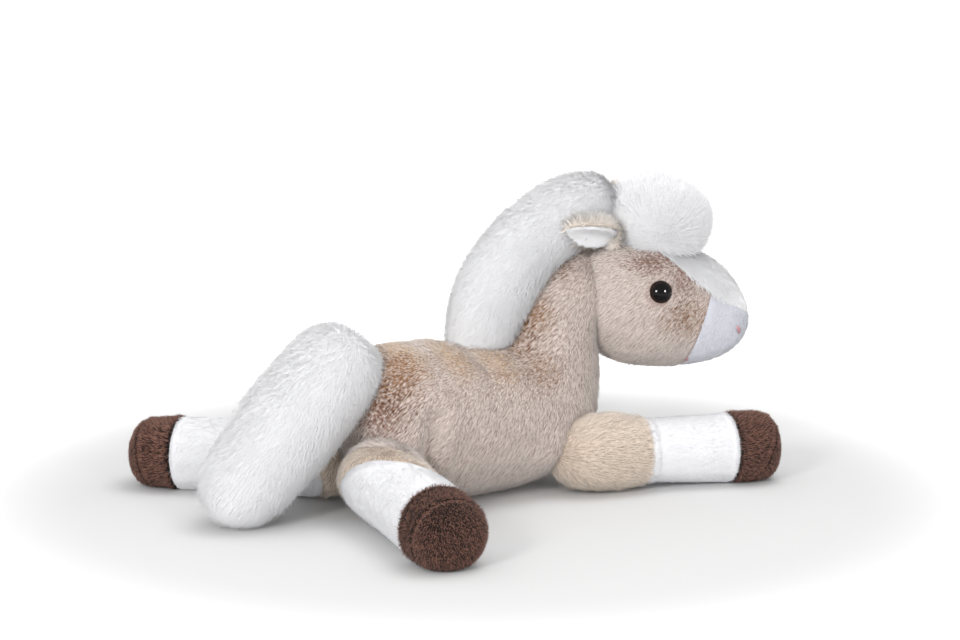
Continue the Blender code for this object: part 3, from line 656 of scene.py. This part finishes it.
# The short white plush is a greyer white than the long pile as painted shade, since its smooth pile catches
# more light
SHADED_SHORT_WHITE = plush("shaded_short_white_plush", (0.75, 0.75, 0.77), (0.83, 0.83, 0.86), 0.08, 0.04, 0.006)
SMOOTH_WHITE = plush("smooth_white_plush", (0.66, 0.67, 0.74), (0.86, 0.87, 0.93), 0.16, 0.08, 0.004)
RING_COCOA = plush("brown_seam", (0.10, 0.05, 0.037), (0.10, 0.05, 0.037), 0.0, 1.2, 0.0016, (), 0)
COCOA = plush("brown_plush", (0.014, 0.006, 0.004), (0.25, 0.125, 0.092), 1.4, 0.5, 0.005, (), 0.08)


# Body: one stuffed skin of short beige plush over torso and neck, sewn together under the belly.
# Its nap runs back and down; it is bare where legs, tail, mane and head lie against it.
BODY_NEIGHBOURS = ("front_right", "front_left", "hind_right", "hind_left", "tail", "mane", "head")
SHORT_PILE = (2.7e6, 0.0052, 0.35, 0.00021, 0.70, 0.12, 0.0040, 0.60, 0.0005)
HIP_FOLD = ((-0.0454, -0.0369, 0.0517), (-0.0484, -0.0378, 0.0398), (-0.0496, -0.0350, 0.0275))
BACK_FOLD = ((-0.0161, -0.0058, 0.0778), (-0.0049, -0.0229, 0.0705))
BARE_DEPTHS = (-0.0032, -0.0014)
CREST_GAP, CROWDED_LIFT, CROWDED_LOSS = 0.012, 0.3, 0.9
BODY_NAP = (-0.75, 0, -0.65)
SWELLS = (((0.0290, 0.0385, 0.0240), 0.0045, 0.0130), ((0.0706, 0.0, 0.1190), 0.0026, 0.0100))
FOLDS = ((HIP_FOLD, 0.0046, 0.0045), (BACK_FOLD, 0.0010, 0.0050))


def skin_piece(name, mesh, body, slot, finish, fill, *nodes):
    made = linked(name, mesh)
    mesh.materials.clear()
    mesh.materials.append(finish)
    mesh.shade_smooth()
    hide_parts(*nodes)
    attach(made, body)
    return made


def bared(mesh, neighbours):
    """Share of pile left where a skin's neighbours lie against it."""
    spots = points_of(mesh)
    left = np.ones(len(spots))
    for name in neighbours:
        left = left * rise(outside(spots, SURFACES[name]), *BARE_DEPTHS)
    return left


def crowded_by(mesh, neighbour):
    """1 where a neighbour's pile stands against a form, down to 0 where it is a gap away."""
    return rise(-outside(points_of(mesh), SURFACES[neighbour]), -CREST_GAP, 0)


body = FORMS["body"]
for fold, depth, width in FOLDS:
    for side in (1, -1):
        line = [(x, y * side, z) for x, y, z in fold]
        shifted(body, drawn_in(off_line(points_of(body), line), depth, width))
for spot, swell, reach in SWELLS:
    for side in (1, -1):
        near = away_from(points_of(body), np.array(spot) * (1, side, 1)) / reach
        shifted(body, swell * np.exp(-near * near))
groom(body, BODY_NAP, bared(body, BODY_NEIGHBOURS))
skin_piece("body_skin", body, "torso", "beige_plush", BEIGE, 0.85, "body_cover", "body_filling")
grow("body_pile", body, "torso", BEIGE, SHORT_PILE, 11, 4)


# Mane: a padded crest of long white pile, sewn along the back of the neck from withers to poll.
# The pile stands off the cloth and falls a little backwards.
LONG_PILE = (2.5e6, 0.0090, 0.45, 0.00024, 0.60, 0.19, 0.0070, 0.25, 0.0006)
MANE_NAP, MANE_STAND = (-0.6, 0, -0.3), 0.75
mane = FORMS["mane"]
crowded = crowded_by(mane, "forelock")
stand = MANE_STAND + CROWDED_LIFT * crowded
groom(mane, MANE_NAP, bared(mane, ("body",)), stand, 1 - CROWDED_LOSS * crowded)
skin_piece("mane_skin", mane, "torso", "white_plush", LONG_WHITE, 0.8, "mane_cover", "mane_filling")
grow("mane_pile", mane, "torso", LONG_WHITE, LONG_PILE, 21, 2, SILKY)


# Legs: a stuffed tube in four panels, a beige thigh, a white shank, a dark brown hoof and its
# round sole, sewn end to end. The nap runs down the leg and the sole's pile stands straight out.
SOLE_TILTS = {"front": math.radians(24), "hind": math.radians(8)}
THIGH_LENGTH, HOOF_START, SOLE_START = 0.032, 0.081, 0.098
SEAM_TURN = 0.0004
SHANK_PILE = (2.7e6, 0.0032, 0.30, 0.00026, 0.82, 0.09, 0.0040, 0.15, 0.0004)
HOOF_PILE = (3.0e6, 0.0030, 0.35, 0.00026, 0.50, 0.25, 0.0028, 1.10, 0.0004)
SOLE_PILE = (3.4e6, 0.0021, 0.35, 0.00025, 0.35, 0.32, 0.0026, 1.20, 0.0004)
SEAMS = ((0.0011, 0.0012), (0.0008, 0.0010), (0.0011, 0.0009))
RING_RADIUS, RING_OUT, RING_POINTS = 0.00075, 0.0004, 90
HIND_SLANT = (1.30, 0.70)
HIND_NAP_TURN, HIND_NAP_DROP = 0.5, 0.85
HIND_THIGH, HIND_HIP = 0.023, 0.001
HIP_NAP, SOLE_NAP = (-0.4, 0, -0.9), (0, 0, -1)
LEG_SEED = 31


def slice_of(mesh, name, *cuts):
    """Closed part of a form on the near side of every cut, each a point and the way that it faces."""
    bm = bmesh.new()
    bm.from_mesh(mesh)
    for spot, facing in cuts:
        everything = [*bm.verts, *bm.edges, *bm.faces]
        made = bmesh.ops.bisect_plane(
            bm, geom=everything, dist=MERGE_DISTANCE, plane_co=spot, plane_no=facing, clear_outer=True
        )
        rim = [item for item in made["geom_cut"] if isinstance(item, bmesh.types.BMEdge)]
        bmesh.ops.contextual_create(bm, geom=rim)
    bmesh.ops.recalc_face_normals(bm, faces=bm.faces)
    made = bpy.data.meshes.new(name)
    bm.to_mesh(made)
    bm.free()
    return made


def turned(cut):
    return cut[0], -cut[1]


def off_seams(mesh, cuts):
    """Share of pile left beside the seams, where the cloth is turned in."""
    spots = points_of(mesh)
    left = np.ones(len(spots))
    for spot, facing in cuts:
        left = left * (((np.array(spot) - spots) @ np.array(facing)) > SEAM_TURN)
    return left


def seam_ring(mesh, name, spot, facing):
    """Ridge of turned-in cloth that runs round a closed seam."""
    bm = bmesh.new()
    bm.from_mesh(mesh)
    everything = [*bm.verts, *bm.edges, *bm.faces]
    made = bmesh.ops.bisect_plane(bm, geom=everything, dist=MERGE_DISTANCE, plane_co=spot, plane_no=facing)
    loop = [item.co.copy() for item in made["geom_cut"] if isinstance(item, bmesh.types.BMVert)]
    bm.free()
    centre = sum(loop, Vector()) / len(loop)
    first = facing.orthogonal().normalized()
    second = facing.cross(first)
    loop.sort(key=lambda co: math.atan2((co - centre).dot(second), (co - centre).dot(first)))
    curve = bpy.data.curves.new(name, "CURVE")
    curve.dimensions = "3D"
    curve.bevel_depth = RING_RADIUS
    curve.bevel_resolution = 2
    spline = curve.splines.new("POLY")
    spline.use_cyclic_u = True
    chosen = loop[:: max(1, len(loop) // RING_POINTS)]
    spline.points.add(len(chosen) - 1)
    for point, co in zip(spline.points, chosen):
        spot = co + (co - centre).normalized() * RING_OUT + facing * RING_RADIUS
        spot.z = max(spot.z, RING_RADIUS + FLOOR_CLEARANCE)
        point.co = (*spot, 1)
    return linked(name, settled(linked(name, curve), name))


for index, leg in enumerate(LEGS):
    body_name = leg + "_leg"
    hip = Vector(JOINTS[body_name]["pos_m"])
    along = (centre_of(body_name + "_filling") - hip).normalized()
    across = UP.cross(along).normalized()
    tilt = SOLE_TILTS[leg.split("_")[0]]
    sole_way = Matrix.Rotation(tilt, 3, across) @ along
    shoulder, thigh_way = hip + along * THIGH_LENGTH, along
    nap = along
    if leg.startswith("hind"):
        nap = along * HIND_NAP_TURN + DOWN * HIND_NAP_DROP
        forward = across if across.x > 0 else -across
        thigh_way = (along - forward * HIND_SLANT[0] + DOWN * HIND_SLANT[1]).normalized()
        shoulder = hip + along * HIND_THIGH
    cuts = (
        (shoulder, thigh_way),
        (hip + along * HOOF_START, along),
        (hip + along * SOLE_START, sole_way),
    )
    form = FORMS[leg]
    for (spot, facing), (depth, width) in zip(cuts, SEAMS):
        shifted(form, drawn_in((points_of(form) - np.array(spot)) @ np.array(facing), depth, width))
    thigh_cuts, shank_cuts = cuts[:1], (turned(cuts[0]), cuts[1])
    hoof_cuts, sole_cuts = (turned(cuts[1]), cuts[2]), (turned(cuts[2]),)
    white = SATIN if leg.startswith("front") else SILKY
    panels = [
        ("thigh", thigh_cuts, "_leg_upper_cover", "beige_plush", CREAM, SHORT_PILE, nap, CRISP),
        ("shank", shank_cuts, "_leg_lower_cover", "white_plush", SHADED_SHORT_WHITE, SHANK_PILE, nap, white),
        ("hoof", hoof_cuts, "_hoof_cover", "brown_plush", COCOA, HOOF_PILE, along, VELVETY),
        ("sole", sole_cuts, "_sole", "brown_plush", COCOA, SOLE_PILE, SOLE_NAP, VELVETY),
    ]
    if leg.startswith("hind"):
        hip_cut = (hip + along * HIND_HIP, thigh_way)
        panels[0] = ("band", (turned(hip_cut), cuts[0]), *panels[0][2:])
        hip_panel = ("_leg_filling", "beige_plush", BEIGE, SHORT_PILE, HIP_NAP, CRISP)
        panels.append(("hip", (hip_cut,), *hip_panel))
    ring = seam_ring(form, leg + "_sole_seam", *cuts[2])
    ring.data.materials.clear()
    ring.data.materials.append(RING_COCOA)
    ring.data.shade_smooth()
    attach(ring, body_name)
    for label, panel_cuts, node, slot, finish, sizes, comb, soft in panels:
        name = f"{leg}_{label}"
        panel = slice_of(FORMS[leg], name, *panel_cuts)
        cover = off_seams(panel, panel_cuts)
        if label in ("thigh", "hip"):
            cover = cover * bared(panel, ("body",))
        groom(panel, comb, cover)
        nodes = [leg + node]
        if label == "thigh":
            nodes.append(leg + "_leg_filling")
        skin_piece(name + "_skin", panel, body_name, slot, finish, 0.85, *nodes)
        grow(name + "_pile", panel, body_name, finish, sizes, LEG_SEED + index, 1, soft)


# Tail: a stuffed tube of long white pile, sewn on at the rump, that lies back down to the floor.
# The pile is combed to the tip and fluffs out at the edge.
TAIL_ALONG = turned_to(ways_of("tail_cover")[0], DOWN)
TAIL_ROOT = (0.35, 0.85)
TAIL_STAND, ROOT_LOWERED = 0.75, 0.25
TAIL_PILE = (2.5e6, 0.0094, 0.45, 0.00024, 0.62, 0.19, 0.0070, 0.25, 0.0006)
tail = FORMS["tail"]
capped = rise(-normals_of(tail) @ np.array(TAIL_ALONG), *TAIL_ROOT)
stand = TAIL_STAND - ROOT_LOWERED * capped
groom(tail, TAIL_ALONG, bared(tail, ("body",)), stand, 1 - CROWDED_LOSS * capped)
skin_piece("tail_skin", tail, "tail", "white_plush", LONG_WHITE, 0.75, "tail_cover", "tail_filling")
grow("tail_pile", tail, "tail", LONG_WHITE, TAIL_PILE, 41, 2, SILKY)


# Head: beige plush over cheeks and brow, a smooth white muzzle and a fluffier white blaze, sewn
# together along three seams over one stuffing, with brown airbrushed round the eyes.
HEAD_SPOTS = (
    (MAUVE_DYE, (0.090, -0.033, 0.1175), (0.015, 0.016, 0.007), 0.75),
    (MAUVE_DYE, (0.103, -0.0455, 0.106), (0.008, 0.012, 0.010), 0.50),
    (BROWN_DYE, (0.106, -0.049, 0.0885), (0.012, 0.014, 0.015), 0.38),
    (BROWN_DYE, (0.0965, -0.0465, 0.0875), (0.011, 0.012, 0.010), 0.32),
    (MAUVE_DYE, (0.104, 0.002, 0.1175), (0.015, 0.016, 0.007), 0.75),
    (BROWN_DYE, (0.128, 0.002, 0.0885), (0.012, 0.014, 0.015), 0.38),
    (BROWN_DYE, (0.1165, 0.0075, 0.0875), (0.011, 0.012, 0.010), 0.32),
)
HEAD_BEIGE = plush("head_plush", (0.46, 0.35, 0.31), (0.92, 0.845, 0.79), 0.40, 0.14, 0.018, HEAD_SPOTS)
# The eyes' ways and places follow from their washers, which lie square to the shanks
EYE_RADIUS, EYE_PROUD = 0.0062, 0.0037
EYE_WAYS = {side: turned_to(ways_of(side + "_eye_washer")[1], UP) for side in SIDES}
EYES = {side: centre_of(side + "_eye_washer") + EYE_WAYS[side] * EYE_PROUD for side in SIDES}
# Length and width of each kind of stitch
STITCH_SIZES = {"nostril": (0.0056, 0.0018), "mouth": (0.0028, 0.0012)}
STITCHES = [(side, kind) for kind in STITCH_SIZES for side in SIDES]
STITCH_CLEAR, EYE_CLEAR = (0.0020, 0.0034), (EYE_RADIUS, EYE_RADIUS + 0.0012)
HEAD_NAP = (-0.62, 0.33, -0.55)
BLAZE_NAP = (-0.10, -0.10, -1.0)
NOSE_TRIM, TRIMMED = (0.010, 0.030), 0.4
HEAD_SEED = 51
HEAD_PILE = (3.2e6, 0.0046, 0.35, 0.00020, 0.70, 0.12, 0.0036, 0.60, 0.0005)
MUZZLE_PILE = (4.2e6, 0.0028, 0.35, 0.00022, 0.66, 0.24, 0.0030, 0.80, 0.0003)
BLAZE_PILE = (4.2e6, 0.0062, 0.40, 0.00023, 0.74, 0.22, 0.0040, 0.60, 0.0004)
CHEEK, BROW = Vector((0.12836, -0.03289, 0.10097)), Vector((0.10699, -0.02153, 0.12061))
CHIN, NOSE = Vector((0.11787, -0.02731, 0.06232)), Vector((0.14662, -0.0426, 0.08918))
HEAD_SIDE = Vector(JOINTS["head"]["axis"])


def left_of(start, end):
    """Cut along a seam across the head, which takes away what lies to its left."""
    return start, (end - start).cross(HEAD_SIDE).normalized()


HEAD_NODES = ("head_cover", "head_filling")
HEAD_CUTS = (left_of(CHEEK, CHIN), left_of(BROW, CHEEK))
MUZZLE_CUTS = (left_of(CHIN, CHEEK), left_of(CHEEK, NOSE))
BLAZE_CUTS = (left_of(CHEEK, BROW), left_of(NOSE, CHEEK))
HEAD_PANELS = (
    ("head", HEAD_CUTS, HEAD_NODES, "beige_plush", HEAD_BEIGE, HEAD_PILE, CRISP),
    ("muzzle", MUZZLE_CUTS, ("muzzle_cover",), "white_plush", SMOOTH_WHITE, MUZZLE_PILE, SATIN),
    ("blaze", BLAZE_CUTS, ("blaze",), "white_plush", LONG_WHITE, BLAZE_PILE, SILKY),
)
for index, (label, panel_cuts, nodes, slot, finish, sizes, soft) in enumerate(HEAD_PANELS):
    panel = slice_of(FORMS["head"], label, *panel_cuts)
    cover = off_seams(panel, panel_cuts)
    spots = points_of(panel)
    if label == "muzzle":
        for side, kind in STITCHES:
            cover = cover * rise(away_from(spots, centre_of(f"{side}_{kind}_stitch")), *STITCH_CLEAR)
    else:
        cover = cover * bared(panel, ("forelock", "body", "mane"))
    for eye in EYES.values():
        cover = cover * rise(away_from(spots, eye), *EYE_CLEAR)
    nap, stand = HEAD_NAP, 1.0
    if label == "blaze":
        nap = BLAZE_NAP
        stand = TRIMMED + (1 - TRIMMED) * rise(away_from(spots, NOSE), *NOSE_TRIM)
    groom(panel, nap, cover, stand)
    skin_piece(label + "_skin", panel, "head", slot, finish, 0.85, *nodes)
    grow(label + "_pile", panel, "head", finish, sizes, HEAD_SEED + index, 1, soft)


# Forelock: a round cushion of long white pile on the forehead, combed out from a whorl low down
# at its back.
WHORL = np.array((0.098, -0.030, 0.128))
FORELOCK_PILE = (4.6e6, 0.0100, 0.45, 0.00022, 0.60, 0.14, 0.0070, 0.35, 0.0006)
forelock = FORMS["forelock"]
crowded = crowded_by(forelock, "mane")
nap, stand = points_of(forelock) - WHORL, 1 + CROWDED_LIFT * crowded
groom(forelock, nap, bared(forelock, ("head",)), stand, 1 - CROWDED_LOSS * crowded)
nodes = ("forelock_cover", "forelock_filling")
skin_piece("forelock_skin", forelock, "head", "white_plush", LONG_WHITE, 0.75, *nodes)
grow("forelock_pile", forelock, "head", LONG_WHITE, FORELOCK_PILE, 61, 1, SILKY)


# Ears: a leaf of curly beige plush lined with a leaf of short white plush, cupped and sewn to the
# head by its heel. The pile stands on the side that each leaf shows and round the heel.
EAR_VOXEL = 0.0005
EAR_LET_OUT = 0.0001
EAR_HEEL, HEEL_EDGE = 0.0045, 0.0015
EAR_RIM = (-0.6, -0.2)
EAR_PILE = (6.4e6, 0.0086, 0.45, 0.00030, 0.26, 0.30, 0.0030, 1.20, 0.0003)
LINING_PILE = (6.0e6, 0.0042, 0.35, 0.00032, 0.80, 0.13, 0.0030, 0.50, 0.0003)
# Each ear's way from heel to tip, and the way that its hollow faces
EAR_WAYS = {
    "right": ((-0.98325, 0, 0.18224), (-0.11714, -0.76604, -0.63202)),
    "left": ((0.30452, 0.31534, 0.89879), (0.91067, 0.18018, -0.37176)),
}
for side, (tipward, hollow) in EAR_WAYS.items():
    leaves = (
        ("outer", -1, "beige_plush", LIT_EAR_CREAM, EAR_PILE, 71, CRISP),
        ("inner", 1, "white_plush", LONG_WHITE, LINING_PILE, 72, SATIN),
    )
    for label, facing, slot, finish, sizes, seed, soft in leaves:
        name = f"{side}_ear_{label}"
        leaf = stuffed_form(name, (name,), EAR_VOXEL, EAR_LET_OUT)
        shown = rise(normals_of(leaf) @ np.array(hollow) * facing, *EAR_RIM)
        along = points_of(leaf) @ np.array(tipward)
        if label == "outer":
            shown = np.maximum(shown, rise(along.min() + EAR_HEEL - along, 0, HEEL_EDGE))
        groom(leaf, tipward, shown)
        skin_piece(name + "_leaf", leaf, side + "_ear", slot, finish, 0.2, name)
        grow(name + "_pile", leaf, side + "_ear", finish, sizes, seed, 1, soft)


# Eyes: polished black domes with a dark brown rim, each on a shank pushed through the head and
# locked by a plastic washer, which stays hidden in the wool. Two lamps shine in the gloss alone.
EYE_HEIGHT, EYE_SEAT = 0.0048, 0.0001
EYE_SKIRT = ((0.9, -0.0022), (1.0, -0.0012))
EYE_STEPS, EYE_SIDES = 10, 56
IRIS_EDGE, PUPIL_TONE, IRIS_TONE = (0.70, 0.84), (0.0025, 0.002, 0.002, 1), (0.016, 0.008, 0.006, 1)
EYE_ROUGHNESS, EYE_GLOSS = 0.02, 0.15
GLINTS = {"glint_left": (-1.219, -0.658, 0.497), "glint_right": (0.328, -1.48, 0.461)}
GLINT_SIZE, GLINT_POWER = 0.34, 31.0
for name, spot in GLINTS.items():
    softbox(name, spot, GLINT_SIZE, GLINT_POWER, EYES["right"]).visible_diffuse = False
eye_plastic, tree = new_material("eye_plastic")
rim = add(tree, "ShaderNodeAttribute", attribute_name="rim").outputs["Fac"]
iris = mixed(tree, mapped(tree, rim, IRIS_EDGE, (0, 1), "SMOOTHSTEP"), PUPIL_TONE, IRIS_TONE)
gloss = add(tree, "ShaderNodeBsdfPrincipled", {"Base Color": iris})
gloss.inputs["Roughness"].default_value = EYE_ROUGHNESS
gloss.inputs["Specular IOR Level"].default_value = EYE_GLOSS
add(tree, "ShaderNodeOutputMaterial", {"Surface": gloss.outputs[0]})
for side, centre in EYES.items():
    bm = bmesh.new()
    outline = [(EYE_RADIUS * share, height) for share, height in EYE_SKIRT]
    for step in range(EYE_STEPS):
        angle = math.pi / 2 * step / EYE_STEPS
        outline.append((EYE_RADIUS * math.cos(angle), EYE_HEIGHT * math.sin(angle) - EYE_SEAT))
    rings = []
    for radius, height in outline:
        turns = [math.tau * i / EYE_SIDES for i in range(EYE_SIDES)]
        rings.append([bm.verts.new((radius * math.cos(t), radius * math.sin(t), height)) for t in turns])
    for lower, upper in zip(rings, rings[1:]):
        for i in range(EYE_SIDES):
            j = (i + 1) % EYE_SIDES
            bm.faces.new((lower[i], lower[j], upper[j], upper[i]))
    apex = bm.verts.new((0, 0, EYE_HEIGHT - EYE_SEAT))
    for i in range(EYE_SIDES):
        bm.faces.new((rings[-1][i], rings[-1][(i + 1) % EYE_SIDES], apex))
    bm.faces.new(list(reversed(rings[0])))
    way = EYE_WAYS[side].to_track_quat("Z", "X").to_matrix().to_4x4()
    mesh = bpy.data.meshes.new(side + "_eye_dome")
    bm.to_mesh(mesh)
    bm.free()
    give(mesh, "rim", away_from(points_of(mesh)[:, :2], (0, 0)) / EYE_RADIUS)
    mesh.transform(Matrix.Translation(centre) @ way)
    mesh.shade_smooth()
    mesh.materials.append(eye_plastic)
    dome = linked(side + "_eye_dome", mesh)
    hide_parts(side + "_eye")
    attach(dome, "head")
MOULD_SCALE, MOULD_DETAIL, WASHER_ROUGHNESS = 900.0, 2.0, 0.4
WASHER_TONES = ((0.66, 0.66, 0.64, 1), (0.80, 0.80, 0.78, 1))
washer_plastic = bpy.data.materials.new("washer_plastic")
washer_plastic.use_nodes = True
tree = washer_plastic.node_tree
mould = add(tree, "ShaderNodeTexNoise", {"Scale": MOULD_SCALE, "Detail": MOULD_DETAIL})
tone = add(tree, "ShaderNodeValToRGB", {"Fac": mould.outputs["Fac"]})
for element, colour in zip(tone.color_ramp.elements, WASHER_TONES):
    element.color = colour
shell = tree.nodes["Principled BSDF"]
tree.links.new(tone.outputs[0], shell.inputs["Base Color"])
shell.inputs["Roughness"].default_value = WASHER_ROUGHNESS
for side in EYES:
    node = frame["nodes"][side + "_eye_washer"]
    node.data.materials.clear()
    node.data.materials.append(washer_plastic)


# Nostrils and mouth corners: small satin stitches of pink thread, laid side by side through the
# muzzle.
THREAD_RADIUS = 0.00022
NOSTRIL_SLANT = math.radians(30)
THREAD_RISE, THREAD_SUNK = 0.0022, 0.0003
THREAD_STEPS, THREAD_PITCH, FEWEST_THREADS = 8, 1.5, 3
ARCHED, ROUNDED = 0.55, 0.85
PLY_SCALE, THREAD_ROUGHNESS, THREAD_SHEEN = 1500.0, 0.5, 0.4
DEEP_PINK, PALE_PINK = (0.34, 0.12, 0.15, 1), (0.54, 0.27, 0.30, 1)
thread = bpy.data.materials.new("pink_thread")
thread.use_nodes = True
tree = thread.node_tree
where = add(tree, "ShaderNodeTexCoord").outputs["Object"]
ply = add(tree, "ShaderNodeTexWave", {"Vector": where, "Scale": PLY_SCALE, "Distortion": 1.0})
floss = tree.nodes["Principled BSDF"]
tree.links.new(mixed(tree, ply.outputs["Fac"], DEEP_PINK, PALE_PINK), floss.inputs["Base Color"])
floss.inputs["Roughness"].default_value = THREAD_ROUGHNESS
floss.inputs["Sheen Weight"].default_value = THREAD_SHEEN
for side, kind in STITCHES:
    name = f"{side}_{kind}"
    centre = centre_of(name + "_stitch")
    long, out = ways_of(name + "_stitch")
    long, out = turned_to(long, UP), turned_to(out, DOWN)
    length, width = STITCH_SIZES[kind]
    if kind == "nostril":
        slant = NOSTRIL_SLANT if side == "right" else -NOSTRIL_SLANT
        long = Matrix.Rotation(slant, 3, out) @ long
    across = out.cross(long).normalized()
    strands = max(FEWEST_THREADS, round(width / (THREAD_RADIUS * THREAD_PITCH)))
    curve = bpy.data.curves.new(name, "CURVE")
    curve.dimensions = "3D"
    curve.bevel_depth = THREAD_RADIUS
    curve.bevel_resolution = 2
    curve.use_fill_caps = True
    for i in range(strands):
        share = 2 * (i + 0.5) / strands - 1
        half = length / 2 * math.sqrt(1 - share * share * ROUNDED)
        spline = curve.splines.new("POLY")
        spline.points.add(THREAD_STEPS)
        for k, point in enumerate(spline.points):
            along = 2 * k / THREAD_STEPS - 1
            lift = THREAD_RISE * (1 - along * along * ARCHED) - THREAD_SUNK
            spot = centre + across * share * width / 2 + long * along * half + out * lift
            point.co = (*spot, 1)
    made = linked(name + "_thread", settled(linked(name, curve), name + "_thread"))
    made.data.materials.clear()
    made.data.materials.append(thread)
    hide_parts(name + "_stitch")
    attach(made, "head")
